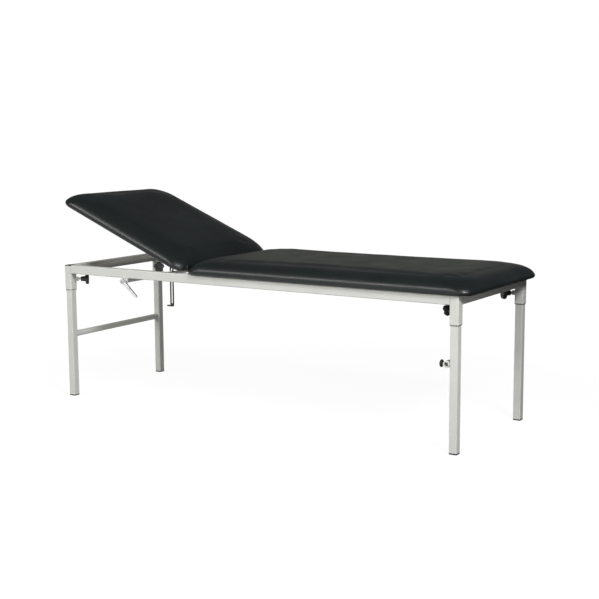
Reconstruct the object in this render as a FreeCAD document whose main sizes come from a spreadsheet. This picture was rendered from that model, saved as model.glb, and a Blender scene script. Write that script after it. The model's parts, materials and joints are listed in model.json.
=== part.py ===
import FreeCAD, Part
import math
import os
import Sketcher

# Treatment couch: a steel tube frame on four telescopic legs, a fixed seat section and a
# raising head section held by a slotted strut that a side lever clamps.
# X runs along the couch from head to foot, Y from front to rear, Z up. Lengths in mm.

os.makedirs("parts", exist_ok=True)
doc = FreeCAD.newDocument("couch")
sheet = doc.addObject("Spreadsheet::Sheet", "size")
Vector = FreeCAD.Vector
Rotation = FreeCAD.Rotation

# Driving sizes
SIZES = (
    ("leg_spacing_long", 1790, "leg centre to leg centre along the couch"),
    ("leg_spacing_wide", 575, "leg centre to leg centre across the couch"),
    ("frame_height", 562, "top of the rails above the floor"),
    ("rail_side", 35, "side of the rail tube"),
    ("rail_wall", 1.5, "wall of the rail tube"),
    ("rail_corner", 3, "outside corner radius of the rail tube"),
    ("socket_side", 35, "side of the leg socket tube"),
    ("socket_wall", 2, "wall of the leg socket tube"),
    ("socket_corner", 3.5, "outside corner radius of the socket tube"),
    ("socket_length", 102.5, "length of the leg socket tube"),
    ("leg_side", 30, "side of the leg tube"),
    ("leg_wall", 1.5, "wall of the leg tube"),
    ("leg_corner", 3, "outside corner radius of the leg tube"),
    ("leg_top_gap", 1.5, "leg top below the cap's plug"),
    ("stretcher_height", 265, "axis of the head stretcher above the floor"),
    ("stretcher_diameter", 25, "outside of the head stretcher tube"),
    ("stretcher_wall", 1.5, "wall of the head stretcher tube"),
    ("foot_cap_base", 5, "thickness of the foot cap under the leg"),
    ("foot_cap_plug", 20, "length of the foot cap's plug"),
    ("cap_plate", 2.5, "thickness of the socket cap"),
    ("cap_plug", 8, "depth of the socket cap's plug"),
    ("plug_clearance", 0.3, "gap round a plug in its tube"),
    ("beam_side", 25, "side of the inner crossbars"),
    ("beam_wall", 1.5, "wall of the inner crossbars"),
    ("beam_setback", 45, "first inner crossbar behind the hinge axis"),
    ("seat_screw_spread", 180, "seat screws each side of the middle"),
    ("seat_screw_diameter", 5, "shank of the seat screws"),
    ("seat_screw_head", 10, "head diameter of the seat screws"),
    ("seat_screw_head_height", 3, "head height of the seat screws"),
    ("seat_screw_bite", 9, "seat screw depth in the board"),
    ("screw_clearance", 0.1, "gap round a screw shank"),
    ("side_overhang", 15, "cushion beyond the rail's outer face"),
    ("foot_overhang", 46, "seat cushion beyond the frame at the foot"),
    ("head_overhang", 45, "lowered head section beyond the frame at the head"),
    ("back_length", 677, "length of the head section"),
    ("cushion_gap", 10, "gap between the two cushions"),
    ("cushion_thickness", 56, "board and foam at the cushion's shoulder"),
    ("cushion_crown", 4, "rise of the middle above the shoulder"),
    ("cushion_corner", 55, "corner radius in plan at the cushion's side"),
    ("cushion_top_corner", 90, "corner radius in plan where the top begins"),
    ("cushion_shoulder", 72, "width of the edge that rolls down from the top"),
    ("cushion_tuck", 3.5, "cover drawn in under the board's edge"),
    ("cushion_tuck_height", 9, "height at which the side is widest"),
    ("crown_inset", 150, "plan inset at which the crown is nearly full"),
    ("board_thickness", 12, "plywood board"),
    ("board_inset", 7, "board edge inside the cushion's side"),
    ("board_clearance", 0.3, "gap between the board and the foam"),
    ("back_rest_gap", 1, "lowered head board above the rails"),
    ("batten_depth", 20, "end batten along the couch"),
    ("batten_height", 15.5, "end batten above the board"),
    ("batten_inset", 18, "end batten inside the cushion's end"),
    ("batten_side", 45, "end batten inside the cushion's sides"),
    ("hinge_screw_diameter", 4, "shank of the hinge screws"),
    ("hinge_screw_head", 7, "countersunk head of the hinge screws"),
    ("hinge_screw_head_depth", 1.5, "countersunk head of the hinge screws"),
    ("hinge_screw_length", 32, "hinge screw below the leaf's face"),
    ("hinge_screw_drop", 10, "hinge screws below the hinge axis"),
    ("hinge_screw_spread", 9, "hinge screws each side of the leaf's middle"),
    ("hinge_rise", 28, "hinge axis above the rails"),
    ("hinge_inset", 58, "hinge middle inside the cushion's side"),
    ("hinge_width", 40, "length of one hinge along its pin"),
    ("hinge_leaf", 2.4, "thickness of a hinge leaf"),
    ("hinge_leaf_height", 18, "hinge leaf below the axis"),
    ("hinge_knuckle", 9.4, "outside diameter of the hinge knuckle"),
    ("hinge_pin_diameter", 5, "hinge pin"),
    ("hinge_play", 0.3, "gap between neighbouring knuckles"),
    ("pin_play", 0.08, "gap round a pin in its bore"),
    ("back_angle", 22.6, "head section above level, in degrees"),
    ("clamp_reach", 305, "clamp axis towards the head from the hinge"),
    ("clamp_drop", 75, "clamp axis below the hinge axis"),
    ("pivot_drop", 46, "strut pivot below the hinge axis, section lowered"),
    ("cross_tube_diameter", 16, "outside of the cross tube"),
    ("cross_tube_wall", 1.5, "wall of the cross tube"),
    ("hanger_thickness", 4, "plate that hangs the cross tube"),
    ("hanger_width", 28, "width of the hanger plate"),
    ("clamp_rod_diameter", 8, "threaded clamping rod"),
    ("clamp_rod_bite", 14, "clamping rod inside its nut"),
    ("washer_diameter", 22, "friction washer"),
    ("washer_thickness", 2, "friction washer"),
    ("washer_play", 0.3, "gap between the washer and the strut"),
    ("strut_width", 18, "slotted strut, along the couch"),
    ("strut_thickness", 5, "slotted strut, across the couch"),
    ("strut_length", 297, "pivot to the lower end of the strut"),
    ("strut_slot_margin", 0.3, "gap beside the rod in the slot"),
    ("strut_slot_start", 23, "upper end of the slot below the pivot"),
    ("strut_slot_end", 284, "lower end of the slot below the pivot"),
    ("strut_toe", 18, "toe of the strut beyond its side"),
    ("strut_toe_height", 6, "height of the toe"),
    ("strut_heel_radius", 6, "rounded heel opposite the toe"),
    ("pivot_pin_diameter", 6, "pin of the strut"),
    ("pivot_ear", 3, "thickness of a bracket ear"),
    ("pivot_side_gap", 0.5, "gap between an ear and the strut"),
    ("pivot_base_length", 56, "bracket base along the couch"),
    ("pivot_base_width", 46, "bracket base across the couch"),
    ("pivot_base_thickness", 3, "bracket base"),
    ("pivot_pin_end", 1.5, "strut pin beyond a bracket ear"),
    ("pivot_ear_radius", 9, "rounded end of the bracket ear"),
    ("bracket_screw_diameter", 4, "shank of the bracket screws"),
    ("bracket_screw_head", 8, "head diameter of the bracket screws"),
    ("bracket_screw_height", 2.4, "head height of the bracket screws"),
    ("bracket_screw_bite", 9, "bracket screw depth in the board"),
    ("bracket_screw_edge", 8, "bracket screw from the base's edges"),
    ("lever_hub_diameter", 21, "hub of the clamping lever"),
    ("lever_hub_height", 18, "hub of the clamping lever"),
    ("lever_length", 94, "hub axis to the end of the lever arm"),
    ("lever_tip_radius", 5.5, "rounded end of the lever arm"),
    ("lever_root_radius", 8.5, "lever arm where it meets the hub"),
    ("lever_arm_thickness", 10, "lever arm"),
    ("lever_arm_lift", 5, "lever arm above the hub's inner end"),
    ("lever_fillet", 2.5, "rounded edges of the lever arm"),
    ("lever_angle", 41, "lever arm below level, in degrees"),
    ("lever_screw_diameter", 13, "screw head in the lever's hub"),
    ("lever_screw_height", 2, "screw head depth in the hub"),
    ("boss_diameter", 18, "threaded boss on the socket's corner"),
    ("boss_length", 10, "boss beyond the socket's corner"),
    ("knob_drop", 61, "knob axes below the top of the frame"),
    ("stud_diameter", 10, "stud of the leg knob"),
    ("stud_tip_gap", 0.4, "stud tip off the leg's corner"),
    ("stud_bare", 8, "bare stud between boss and knob"),
    ("knob_hub_root", 9.5, "radius of the knob's hub at the stud"),
    ("knob_hub_top", 12, "radius of the knob's hub at the head"),
    ("knob_hub_length", 20, "hub of the leg knob"),
    ("knob_radius", 24, "head of the leg knob"),
    ("knob_thickness", 14, "head of the leg knob"),
    ("knob_edge", 3, "bevel of the knob's head"),
    ("knob_lobe_cut", 9, "radius of the finger hollows"),
    ("knob_lobe_bite", 5, "depth of the finger hollows"),
    ("holder_height", 318, "accessory holder above the floor"),
    ("holder_diameter", 25, "accessory holder tube"),
    ("holder_bore", 17, "bore of the accessory holder"),
    ("holder_length", 30, "accessory holder along its bore"),
    ("holder_lug", 8, "width of the weld lug"),
    ("holder_gap", 1, "holder tube off the leg's face"),
    ("holder_stud", 8, "stud of the holder knob"),
    ("holder_neck_start", 15, "holder knob's neck from the bore's axis"),
    ("holder_neck_radius", 6, "neck of the holder knob"),
    ("holder_head_start", 19.5, "holder knob's head from the bore's axis"),
    ("holder_head_radius", 14, "head of the holder knob"),
    ("holder_head_end", 28, "end of the holder knob from the bore's axis"),
    ("holder_head_edge", 3, "rounded edge of the holder knob"),
    ("hanger_setback", 1, "hanger's outer face inside the rail's"),
    ("clamp_nut_length", 18, "threaded insert in the rear cross tube"),
    ("lever_socket", 8, "hexagon socket in the lever's screw"),
    ("cut_overrun", 1, "overrun of a cutting solid"),
)
for row_index, (alias, amount, meaning) in enumerate(SIZES, start=1):
    sheet.set(f"A{row_index}", str(amount))
    sheet.setAlias(f"A{row_index}", alias)
    sheet.set(f"B{row_index}", meaning)
doc.recompute()


reader = doc.addObject("App::FeaturePython", "reader")


def number(text):
    """The value of a sum written in the sheet's names."""
    result = reader.evalExpression(text)
    return float(getattr(result, "Value", result))


# Sums of the driving sizes that several pieces share
FRAME_X = "(0 - size.foot_overhang / 2)"
HALF_LONG = "(size.leg_spacing_long / 2)"
HALF_WIDE = "(size.leg_spacing_wide / 2)"
HEAD_FACE = f"({FRAME_X} - {HALF_LONG} - size.socket_side / 2)"
FOOT_FACE = f"({FRAME_X} + {HALF_LONG} + size.socket_side / 2)"
HINGE_X = f"({HEAD_FACE} - size.head_overhang + size.back_length + size.cushion_gap / 2)"
HINGE_Z = "(size.frame_height + size.hinge_rise)"
RAIL_FACE = f"({HALF_WIDE} + size.rail_side / 2)"
CUSHION_HALF = f"({RAIL_FACE} + size.side_overhang)"
RAIL_UNDER = "(size.frame_height - size.rail_side)"
SEAT_START = f"({HINGE_X} + size.cushion_gap / 2)"
SEAT_END = f"({FOOT_FACE} + size.foot_overhang)"
SEAT_LENGTH = f"({SEAT_END} - {SEAT_START})"
SEAT_MIDDLE = f"(({SEAT_END} + {SEAT_START}) / 2)"
BACK_MIDDLE = "(0 - size.cushion_gap / 2 - size.back_length / 2)"
BACK_UNDER = "(size.back_rest_gap - size.hinge_rise)"
CLAMP_X = f"({HINGE_X} - size.clamp_reach)"
CLAMP_Z = f"({HINGE_Z} - size.clamp_drop)"
PIVOT_REACH = "(sqrt(size.clamp_reach ^ 2 + size.clamp_drop ^ 2 - size.pivot_drop ^ 2))"
LEG_TOP = "(size.frame_height - size.cap_plate - size.cap_plug - size.leg_top_gap)"
SOCKET_INSIDE = "(size.socket_side - 2 * size.socket_wall)"
LEG_INSIDE = "(size.leg_side - 2 * size.leg_wall)"

PARTS = []
QUARTER_TURN = 90
HALF_TURN = 180
FULL_TURN = 360
ALONG_DIRECTION = 0.999


def place(piece, x="0", y="0", z="0", turn=None):
    """Place a piece with its place bound to the sheet."""
    if turn:
        piece.Placement = FreeCAD.Placement(Vector(0, 0, 0), turn)
    for axis, text in (("x", x), ("y", y), ("z", z)):
        piece.setExpression(f"Placement.Base.{axis}", f"{text} * 1 mm")
    return piece


def diagonal(corner_x, corner_y, along, across, reach):
    """Place on a leg's inward diagonal, a distance from the leg's centre."""
    return (f"({corner_x} - {along} * ({reach}) / sqrt(2))",
            f"({corner_y} - {across} * ({reach}) / sqrt(2))")


def keep(piece, node):
    """Name a finished sub-part."""
    piece.Label = node
    PARTS.append(piece)
    return piece


def bind(piece, **texts):
    """Bind lengths of a piece to sums of the sheet's names."""
    for prop, text in texts.items():
        piece.setExpression(prop, f"({text}) * 1 mm")
    return piece


ALONG_X = Rotation(Vector(0, 1, 0), 90)
ALONG_Y = Rotation(Vector(1, 0, 0), -90)
ALONG_Z = Rotation()


def block(x, y, z, dx, dy, dz):
    """A box from its lowest corner."""
    piece = doc.addObject("Part::Box", "block")
    bind(piece, Length=dx, Width=dy, Height=dz)
    return place(piece, x, y, z)


def rod(radius, length, x, y, z, turn=ALONG_Z):
    """A cylinder that starts at x, y, z."""
    piece = doc.addObject("Part::Cylinder", "rod")
    bind(piece, Radius=radius, Height=length)
    return place(piece, x, y, z, turn)


def join(*pieces):
    result = doc.addObject("Part::MultiFuse", "join")
    result.Shapes = list(pieces)
    result.Refine = True
    return result


def cut(base, *tools):
    for tool in tools:
        result = doc.addObject("Part::Cut", "cut")
        result.Base = base
        result.Tool = tool
        base = result
    return base


def new_body(name):
    return doc.addObject("PartDesign::Body", name)


def new_sketch(body, role, offset=None):
    """A sketch on one of the body's own origin planes, raised by an offset."""
    sketch = body.newObject("Sketcher::SketchObject", "sketch")
    plane = next(item for item in body.Origin.OriginFeatures if item.Role == role)
    sketch.AttachmentSupport = [(plane, "")]
    sketch.MapMode = "FlatFace"
    if offset:
        sketch.setExpression("AttachmentOffset.Base.z", f"({offset}) * 1 mm")
    return sketch


def hold(sketch, kind, geometry, point, text, axis):
    """A distance from the sketch's origin to a point, or a point on an axis."""
    amount = number(text)
    if amount == 0:
        sketch.addConstraint(Sketcher.Constraint("PointOnObject", geometry, point, axis))
        return
    index = sketch.addConstraint(Sketcher.Constraint(kind, -1, 1, geometry, point, amount))
    sketch.setExpression(f"Constraints[{index}]", f"({text}) * 1 mm")


def hold_at(sketch, geometry, point, x, y):
    """Hold a point of a shape at x, y from the sketch's origin."""
    hold(sketch, "DistanceX", geometry, point, x, -2)
    hold(sketch, "DistanceY", geometry, point, y, -1)


def hold_radius(sketch, geometry, radius):
    index = sketch.addConstraint(Sketcher.Constraint("Radius", geometry, number(radius)))
    sketch.setExpression(f"Constraints[{index}]", f"({radius}) * 1 mm")


def add_line(sketch, start, end):
    ends = [Vector(number(x), number(y), 0) for x, y in (start, end)]
    return sketch.addGeometry(Part.LineSegment(*ends), False)


def add_arc(sketch, radius, x, y, start, end, centred=True):
    """An arc from one angle to another, in degrees, with its radius and its centre held."""
    ring = Part.Circle(Vector(number(x), number(y), 0), Vector(0, 0, 1), number(radius))
    curve = Part.ArcOfCircle(ring, math.radians(start), math.radians(end))
    index = sketch.addGeometry(curve, False)
    hold_radius(sketch, index, radius)
    if centred:
        hold_at(sketch, index, 3, x, y)
    return index


def tangent(sketch, first, first_end, second, second_end):
    sketch.addConstraint(Sketcher.Constraint("Tangent", first, first_end, second, second_end))


def meet(sketch, first, first_end, second, second_end):
    sketch.addConstraint(Sketcher.Constraint("Coincident", first, first_end, second, second_end))


def outline(sketch, points):
    """A closed outline of straight lines through points given as sums of names."""
    count = len(points)
    lines = [add_line(sketch, points[index], points[(index + 1) % count])
             for index in range(count)]
    for index in range(count):
        meet(sketch, lines[index], 2, lines[(index + 1) % count], 1)
    for index, (x, y) in enumerate(points):
        hold_at(sketch, lines[index], 1, x, y)


def rectangle(sketch, half_x, half_y):
    corners = ((-1, -1), (1, -1), (1, 1), (-1, 1))
    outline(sketch, [(f"({sx} * ({half_x}))", f"({sy} * ({half_y}))") for sx, sy in corners])


def circle(sketch, radius, x="0", y="0"):
    centre = Vector(number(x), number(y), 0)
    index = sketch.addGeometry(Part.Circle(centre, Vector(0, 0, 1), number(radius)), False)
    hold_radius(sketch, index, radius)
    hold_at(sketch, index, 3, x, y)


def rounded_rectangle(sketch, half_x, half_y, corner):
    """A rectangle about the sketch's origin with four equal rounded corners."""
    flat_x = f"({half_x} - {corner})"
    flat_y = f"({half_y} - {corner})"
    sides = ((f"(0 - {flat_x})", f"(0 - {half_y})", flat_x, f"(0 - {half_y})"),
             (half_x, f"(0 - {flat_y})", half_x, flat_y),
             (flat_x, half_y, f"(0 - {flat_x})", half_y),
             (f"(0 - {half_x})", flat_y, f"(0 - {half_x})", f"(0 - {flat_y})"))
    lines = [add_line(sketch, side[:2], side[2:]) for side in sides]
    quarters = ((flat_x, f"(0 - {flat_y})"), (flat_x, flat_y), (f"(0 - {flat_x})", flat_y),
                (f"(0 - {flat_x})", f"(0 - {flat_y})"))
    for index, (x, y) in enumerate(quarters):
        start = (index - 1) * QUARTER_TURN
        bend = add_arc(sketch, corner, x, y, start, start + QUARTER_TURN)
        tangent(sketch, lines[index], 2, bend, 1)
        tangent(sketch, bend, 2, lines[(index + 1) % len(lines)], 1)


def pad(body, sketch, length):
    feature = body.newObject("PartDesign::Pad", "pad")
    feature.Profile = sketch
    bind(feature, Length=length)
    body.Tip = feature
    return feature


def pocket(body, sketch, depth, reverse):
    """A pocket that is checked to take material away."""
    doc.recompute()
    before = body.Shape.Volume
    feature = body.newObject("PartDesign::Pocket", "pocket")
    feature.Profile = sketch
    feature.Reversed = reverse
    bind(feature, Length=depth)
    body.Tip = feature
    doc.recompute()
    assert body.Shape.Volume < before, f"{body.Name}: the pocket cuts nothing"
    return feature


def long_edges(shape, direction):
    """Names of the straight edges that run along a direction."""
    names = []
    for index, edge in enumerate(shape.Edges, start=1):
        if edge.Curve.TypeId != "Part::GeomLine":
            continue
        if abs(edge.tangentAt(edge.FirstParameter).dot(direction)) > ALONG_DIRECTION:
            names.append(f"Edge{index}")
    return names


def fillet(body, names, radius):
    base = body.Tip
    feature = body.newObject("PartDesign::Fillet", "fillet")
    feature.Base = (base, names)
    bind(feature, Radius=radius)
    body.Tip = feature
    return feature


def square_tube(name, side, wall, corner, length):
    """A square tube along Z with rounded outside edges."""
    body = new_body(name)
    profile = new_sketch(body, "XY_Plane")
    rectangle(profile, f"{side} / 2", f"{side} / 2")
    pad(body, profile, length)
    doc.recompute()
    fillet(body, long_edges(body.Shape, Vector(0, 0, 1)), corner)
    hollow = new_sketch(body, "XY_Plane")
    rectangle(hollow, f"({side} / 2 - {wall})", f"({side} / 2 - {wall})")
    pocket(body, hollow, length, True)
    return body


# Rails and crossbars of the frame: square tube, welded between the leg sockets
INNER_LONG = "(size.leg_spacing_long - size.socket_side)"
INNER_WIDE = "(size.leg_spacing_wide - size.socket_side)"
for node, side in (("side_rail_front", -1), ("side_rail_rear", 1)):
    rail = square_tube(node, "size.rail_side", "size.rail_wall", "size.rail_corner", INNER_LONG)
    place(rail, f"({FRAME_X} - {INNER_LONG} / 2)", f"({side} * {HALF_WIDE})",
          "(size.frame_height - size.rail_side / 2)", ALONG_X)
    keep(rail, node)
for node, side in (("crossbar_head", -1), ("crossbar_foot", 1)):
    bar = square_tube(node, "size.rail_side", "size.rail_wall", "size.rail_corner", INNER_WIDE)
    place(bar, f"({FRAME_X} + {side} * {HALF_LONG})", f"(0 - {INNER_WIDE} / 2)",
          "(size.frame_height - size.rail_side / 2)", ALONG_Y)
    keep(bar, node)

# Inner crossbars: they carry the seat board, and two screws in each hold it down
INNER_GAP = "(size.leg_spacing_wide - size.rail_side)"
BEAM_XS = (("crossbar_hinge", f"({HINGE_X} + size.beam_setback)"), ("crossbar_seat", SEAT_MIDDLE))
BEAM_UNDER = "(size.frame_height - size.beam_side)"
SCREW_HOLE = "(size.seat_screw_diameter / 2 + size.screw_clearance)"
for node, beam_x in BEAM_XS:
    beam = square_tube(f"{node}_tube", "size.beam_side", "size.beam_wall", "size.leg_corner", INNER_GAP)
    place(beam, beam_x, f"(0 - {INNER_GAP} / 2)",
          "(size.frame_height - size.beam_side / 2)", ALONG_Y)
    holes = [rod(SCREW_HOLE, "size.beam_side + 2 * size.cut_overrun", beam_x,
                 f"({side} * size.seat_screw_spread)", f"({BEAM_UNDER} - size.cut_overrun)")
             for side in (-1, 1)]
    keep(cut(beam, *holes), node)

screws = []
for _, beam_x in BEAM_XS:
    for side in (-1, 1):
        across = f"({side} * size.seat_screw_spread)"
        shank = rod("size.seat_screw_diameter / 2", "size.beam_side + size.seat_screw_bite",
                    beam_x, across, BEAM_UNDER)
        head = rod("size.seat_screw_head / 2", "size.seat_screw_head_height", beam_x, across,
                   f"({BEAM_UNDER} - size.seat_screw_head_height)")
        screws += [shank, head]
keep(join(*screws), "seat_screws")

# Leg sockets, each with a plastic cap on top and a threaded boss on its inner corner
KNOB_LOBES = 5
CORNERS = (("front_head", -1, -1), ("rear_head", -1, 1), ("front_foot", 1, -1), ("rear_foot", 1, 1))
DIAGONAL = "sqrt(2)"
SOCKET_EDGE = f"(size.socket_side / {DIAGONAL} - size.socket_corner * ({DIAGONAL} - 1))"
LEG_EDGE = f"(size.leg_side / {DIAGONAL} - size.leg_corner * ({DIAGONAL} - 1))"
BOSS_END = f"({SOCKET_EDGE} + size.boss_length)"
STUD_START = f"({LEG_EDGE} + size.stud_tip_gap)"
HUB_START = f"({BOSS_END} + size.stud_bare)"
SOCKET_BOTTOM = "(size.frame_height - size.cap_plate - size.socket_length)"
KNOB_Z = "(size.frame_height - size.knob_drop)"
caps = []
bosses = []
for corner, along, across in CORNERS:
    leg_x = f"({FRAME_X} + {along} * {HALF_LONG})"
    leg_y = f"({across} * {HALF_WIDE})"
    inward = Rotation(Vector(0, 0, 1), math.degrees(math.atan2(-across, -along))).multiply(ALONG_X)

    socket = square_tube(f"socket_tube_{corner}", "size.socket_side", "size.socket_wall",
                         "size.socket_corner", "size.socket_length")
    place(socket, leg_x, leg_y, SOCKET_BOTTOM)
    drilled = rod("size.stud_diameter / 2 + size.pin_play", BOSS_END,
                  leg_x, leg_y, KNOB_Z, inward)
    keep(cut(socket, drilled), f"socket_{corner}")

    cap = new_body(f"cap_{corner}")
    plate = new_sketch(cap, "XY_Plane")
    rectangle(plate, "size.socket_side / 2", "size.socket_side / 2")
    pad(cap, plate, "size.cap_plate")
    doc.recompute()
    fillet(cap, long_edges(cap.Shape, Vector(0, 0, 1)), "size.socket_corner")
    plug = new_sketch(cap, "XY_Plane")
    plug_half = f"({SOCKET_INSIDE} / 2 - size.plug_clearance)"
    rectangle(plug, plug_half, plug_half)
    pad(cap, plug, "size.cap_plug").Reversed = True
    place(cap, leg_x, leg_y, "(size.frame_height - size.cap_plate)")
    caps.append(cap)

    boss = rod("size.boss_diameter / 2", BOSS_END, leg_x, leg_y, KNOB_Z, inward)
    bore = rod("size.stud_diameter / 2 + size.pin_play", f"{BOSS_END} + size.cut_overrun",
               leg_x, leg_y, KNOB_Z, inward)
    seat = block(f"({leg_x} - size.socket_side / 2)", f"({leg_y} - size.socket_side / 2)",
                 SOCKET_BOTTOM, "size.socket_side", "size.socket_side", "size.socket_length")
    bosses.append(cut(boss, bore, seat))

    # The clamping knob: a steel stud and a moulded head with finger hollows
    stud_x, stud_y = diagonal(leg_x, leg_y, along, across, STUD_START)
    stud = rod("size.stud_diameter / 2", f"({HUB_START} - {STUD_START} + size.knob_hub_length)",
               stud_x, stud_y, KNOB_Z, inward)
    keep(stud, f"knob_stud_{corner}")
    knob = new_body(f"knob_{corner}")
    profile = new_sketch(knob, "XZ_Plane")
    head_top = "(size.knob_hub_length + size.knob_thickness)"
    outline(profile, (
        ("size.stud_diameter / 2", "0"),
        ("size.knob_hub_root", "0"),
        ("size.knob_hub_top", "size.knob_hub_length"),
        ("(size.knob_radius - size.knob_edge)", "size.knob_hub_length"),
        ("size.knob_radius", "(size.knob_hub_length + size.knob_edge)"),
        ("size.knob_radius", f"({head_top} - size.knob_edge)"),
        ("(size.knob_radius - size.knob_edge)", head_top),
        ("0", head_top),
        ("0", "size.knob_hub_length"),
        ("size.stud_diameter / 2", "size.knob_hub_length"),
    ))
    turned = knob.newObject("PartDesign::Revolution", "turned")
    turned.Profile = profile
    turned.ReferenceAxis = (profile, ["V_Axis"])
    knob.Tip = turned
    hollow = new_sketch(knob, "XY_Plane", head_top)
    hollow_place = "(size.knob_radius + size.knob_lobe_cut - size.knob_lobe_bite)"
    circle(hollow, "size.knob_lobe_cut", hollow_place)
    finger = pocket(knob, hollow, "size.knob_thickness", False)
    ring = knob.newObject("PartDesign::PolarPattern", "ring")
    ring.Originals = [finger]
    ring.Axis = (hollow, ["N_Axis"])
    ring.Angle = FULL_TURN
    ring.Occurrences = KNOB_LOBES
    knob.Tip = ring
    hub_x, hub_y = diagonal(leg_x, leg_y, along, across, HUB_START)
    place(knob, hub_x, hub_y, KNOB_Z, inward)
    keep(knob, f"knob_{corner}")

keep(join(*caps), "socket_caps")
keep(join(*bosses), "knob_bosses")

# Legs: square tube with a plastic foot cap
LEG_LENGTH = f"({LEG_TOP} - size.foot_cap_base)"
for corner, along, across in CORNERS:
    leg_x = f"({FRAME_X} + {along} * {HALF_LONG})"
    leg_y = f"({across} * {HALF_WIDE})"
    leg = square_tube(f"leg_{corner}", "size.leg_side", "size.leg_wall", "size.leg_corner",
                      LEG_LENGTH)
    place(leg, leg_x, leg_y, "size.foot_cap_base")
    keep(leg, f"leg_{corner}")
    foot = new_body(f"foot_{corner}")
    sole = new_sketch(foot, "XY_Plane")
    rectangle(sole, "size.leg_side / 2", "size.leg_side / 2")
    pad(foot, sole, "size.foot_cap_base")
    doc.recompute()
    fillet(foot, long_edges(foot.Shape, Vector(0, 0, 1)), "size.leg_corner")
    plug = new_sketch(foot, "XY_Plane", "size.foot_cap_base")
    plug_half = f"({LEG_INSIDE} / 2 - size.plug_clearance)"
    rectangle(plug, plug_half, plug_half)
    pad(foot, plug, "size.foot_cap_plug")
    place(foot, leg_x, leg_y, "0")
    keep(foot, f"foot_cap_{corner}")

# Stretcher: round tube welded between the two head legs
STRETCHER_X = f"({FRAME_X} - {HALF_LONG})"
STRETCHER_LENGTH = "(size.leg_spacing_wide - size.leg_side)"
outer = rod("size.stretcher_diameter / 2", STRETCHER_LENGTH, STRETCHER_X,
            f"(0 - {STRETCHER_LENGTH} / 2)", "size.stretcher_height", ALONG_Y)
inner = rod("size.stretcher_diameter / 2 - size.stretcher_wall",
            f"{STRETCHER_LENGTH} + 2 * size.cut_overrun", STRETCHER_X,
            f"(0 - {STRETCHER_LENGTH} / 2 - size.cut_overrun)", "size.stretcher_height", ALONG_Y)
keep(cut(outer, inner), "head_stretcher")

# Upholstery: foam over a plywood board, with the cover drawn round the board's edges. The
# edge rolls down from the top in a quarter of an ellipse, and the corners open toward the top.
SHOULDER_RISE = "(size.cushion_thickness - size.cushion_tuck_height)"
SHOULDER_ANGLES = (18, 36, 54, 72, 90)
CROWN_SHARES = (0.33, 0.67, 1)


def cushion_levels():
    """Height, plan inset and corner radius of each section, from the hem up."""
    levels = [("0", "size.cushion_tuck", "(size.cushion_corner - size.cushion_tuck)"),
              ("size.cushion_tuck_height", "0", "size.cushion_corner")]
    for angle in SHOULDER_ANGLES:
        levels.append((f"(size.cushion_tuck_height + {SHOULDER_RISE} * sin({angle}))",
                       f"(size.cushion_shoulder * (1 - cos({angle})))",
                       "(size.cushion_corner + (size.cushion_top_corner - size.cushion_corner)"
                       f" * sin({angle}))"))
    for share in CROWN_SHARES:
        levels.append((f"(size.cushion_thickness + size.cushion_crown * (1 - (1 - {share}) ^ 2))",
                       f"(size.cushion_shoulder + (size.crown_inset - size.cushion_shoulder)"
                       f" * {share})", "size.cushion_top_corner"))
    return levels


def cushion(name, length, hinge_side):
    """The foam and its cover, hollowed from below for the board and the end batten."""
    body = new_body(name)
    sections = []
    for height, inset, corner in cushion_levels():
        section = new_sketch(body, "XY_Plane", None if height == "0" else height)
        rounded_rectangle(section, f"({length} / 2 - {inset})", f"({CUSHION_HALF} - {inset})",
                          corner)
        sections.append(section)
    loft = body.newObject("PartDesign::AdditiveLoft", "loft")
    loft.Profile = sections[0]
    loft.Sections = sections[1:]
    loft.Ruled = True
    body.Tip = loft
    recess = new_sketch(body, "XY_Plane")
    margin = "(size.board_inset - size.board_clearance)"
    rounded_rectangle(recess, f"({length} / 2 - {margin})", f"({CUSHION_HALF} - {margin})",
                      f"(size.cushion_corner - {margin})")
    pocket(body, recess, "size.board_thickness + size.board_clearance", True)
    slot = new_sketch(body, "XY_Plane", "size.board_thickness")
    near = f"({hinge_side} * ({length} / 2 - size.batten_inset + size.board_clearance))"
    far = f"({hinge_side} * ({length} / 2 - size.batten_inset - size.batten_depth" \
          " - size.board_clearance))"
    reach = f"({BATTEN_HALF} + size.board_clearance)"
    outline(slot, ((near, f"(0 - {reach})"), (far, f"(0 - {reach})"), (far, reach), (near, reach)))
    pocket(body, slot, "size.batten_height + size.board_clearance", True)
    return body


def board(name, length):
    body = new_body(name)
    profile = new_sketch(body, "XY_Plane")
    rounded_rectangle(profile, f"({length} / 2 - size.board_inset)",
                      f"({CUSHION_HALF} - size.board_inset)",
                      "(size.cushion_corner - size.board_inset)")
    pad(body, profile, "size.board_thickness")
    return body


BATTEN_HALF = f"({CUSHION_HALF} - size.batten_side)"
HINGE_SIDES = (("front", -1), ("rear", 1))
HINGE_MIDDLE = f"({CUSHION_HALF} - size.hinge_inset)"


def hinge_screw_parts(side, grow, open_end):
    """Screws of one leaf pair about the hinge axis; side 1 is the seat, -1 the head section."""
    pieces = []
    turn = ALONG_X if side > 0 else Rotation(Vector(0, 1, 0), -90)
    face = f"({side} * (size.cushion_gap / 2 - size.board_clearance - size.hinge_leaf))"
    start = f"({face} - {side} * {open_end})"
    for _, across in HINGE_SIDES:
        for step in (-1, 1):
            y = f"({across} * {HINGE_MIDDLE} + {step} * size.hinge_screw_spread)"
            shank = rod(f"size.hinge_screw_diameter / 2 + {grow}",
                        f"size.hinge_screw_length + {open_end}", start, y,
                        "(0 - size.hinge_screw_drop)", turn)
            head = doc.addObject("Part::Cone", "head")
            bind(head, Radius1=f"size.hinge_screw_head / 2 + {grow}",
                 Radius2=f"size.hinge_screw_diameter / 2 + {grow}",
                 Height="size.hinge_screw_head_depth")
            place(head, face, y, "(0 - size.hinge_screw_drop)", turn)
            pieces += [shank, head]
    return pieces


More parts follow.
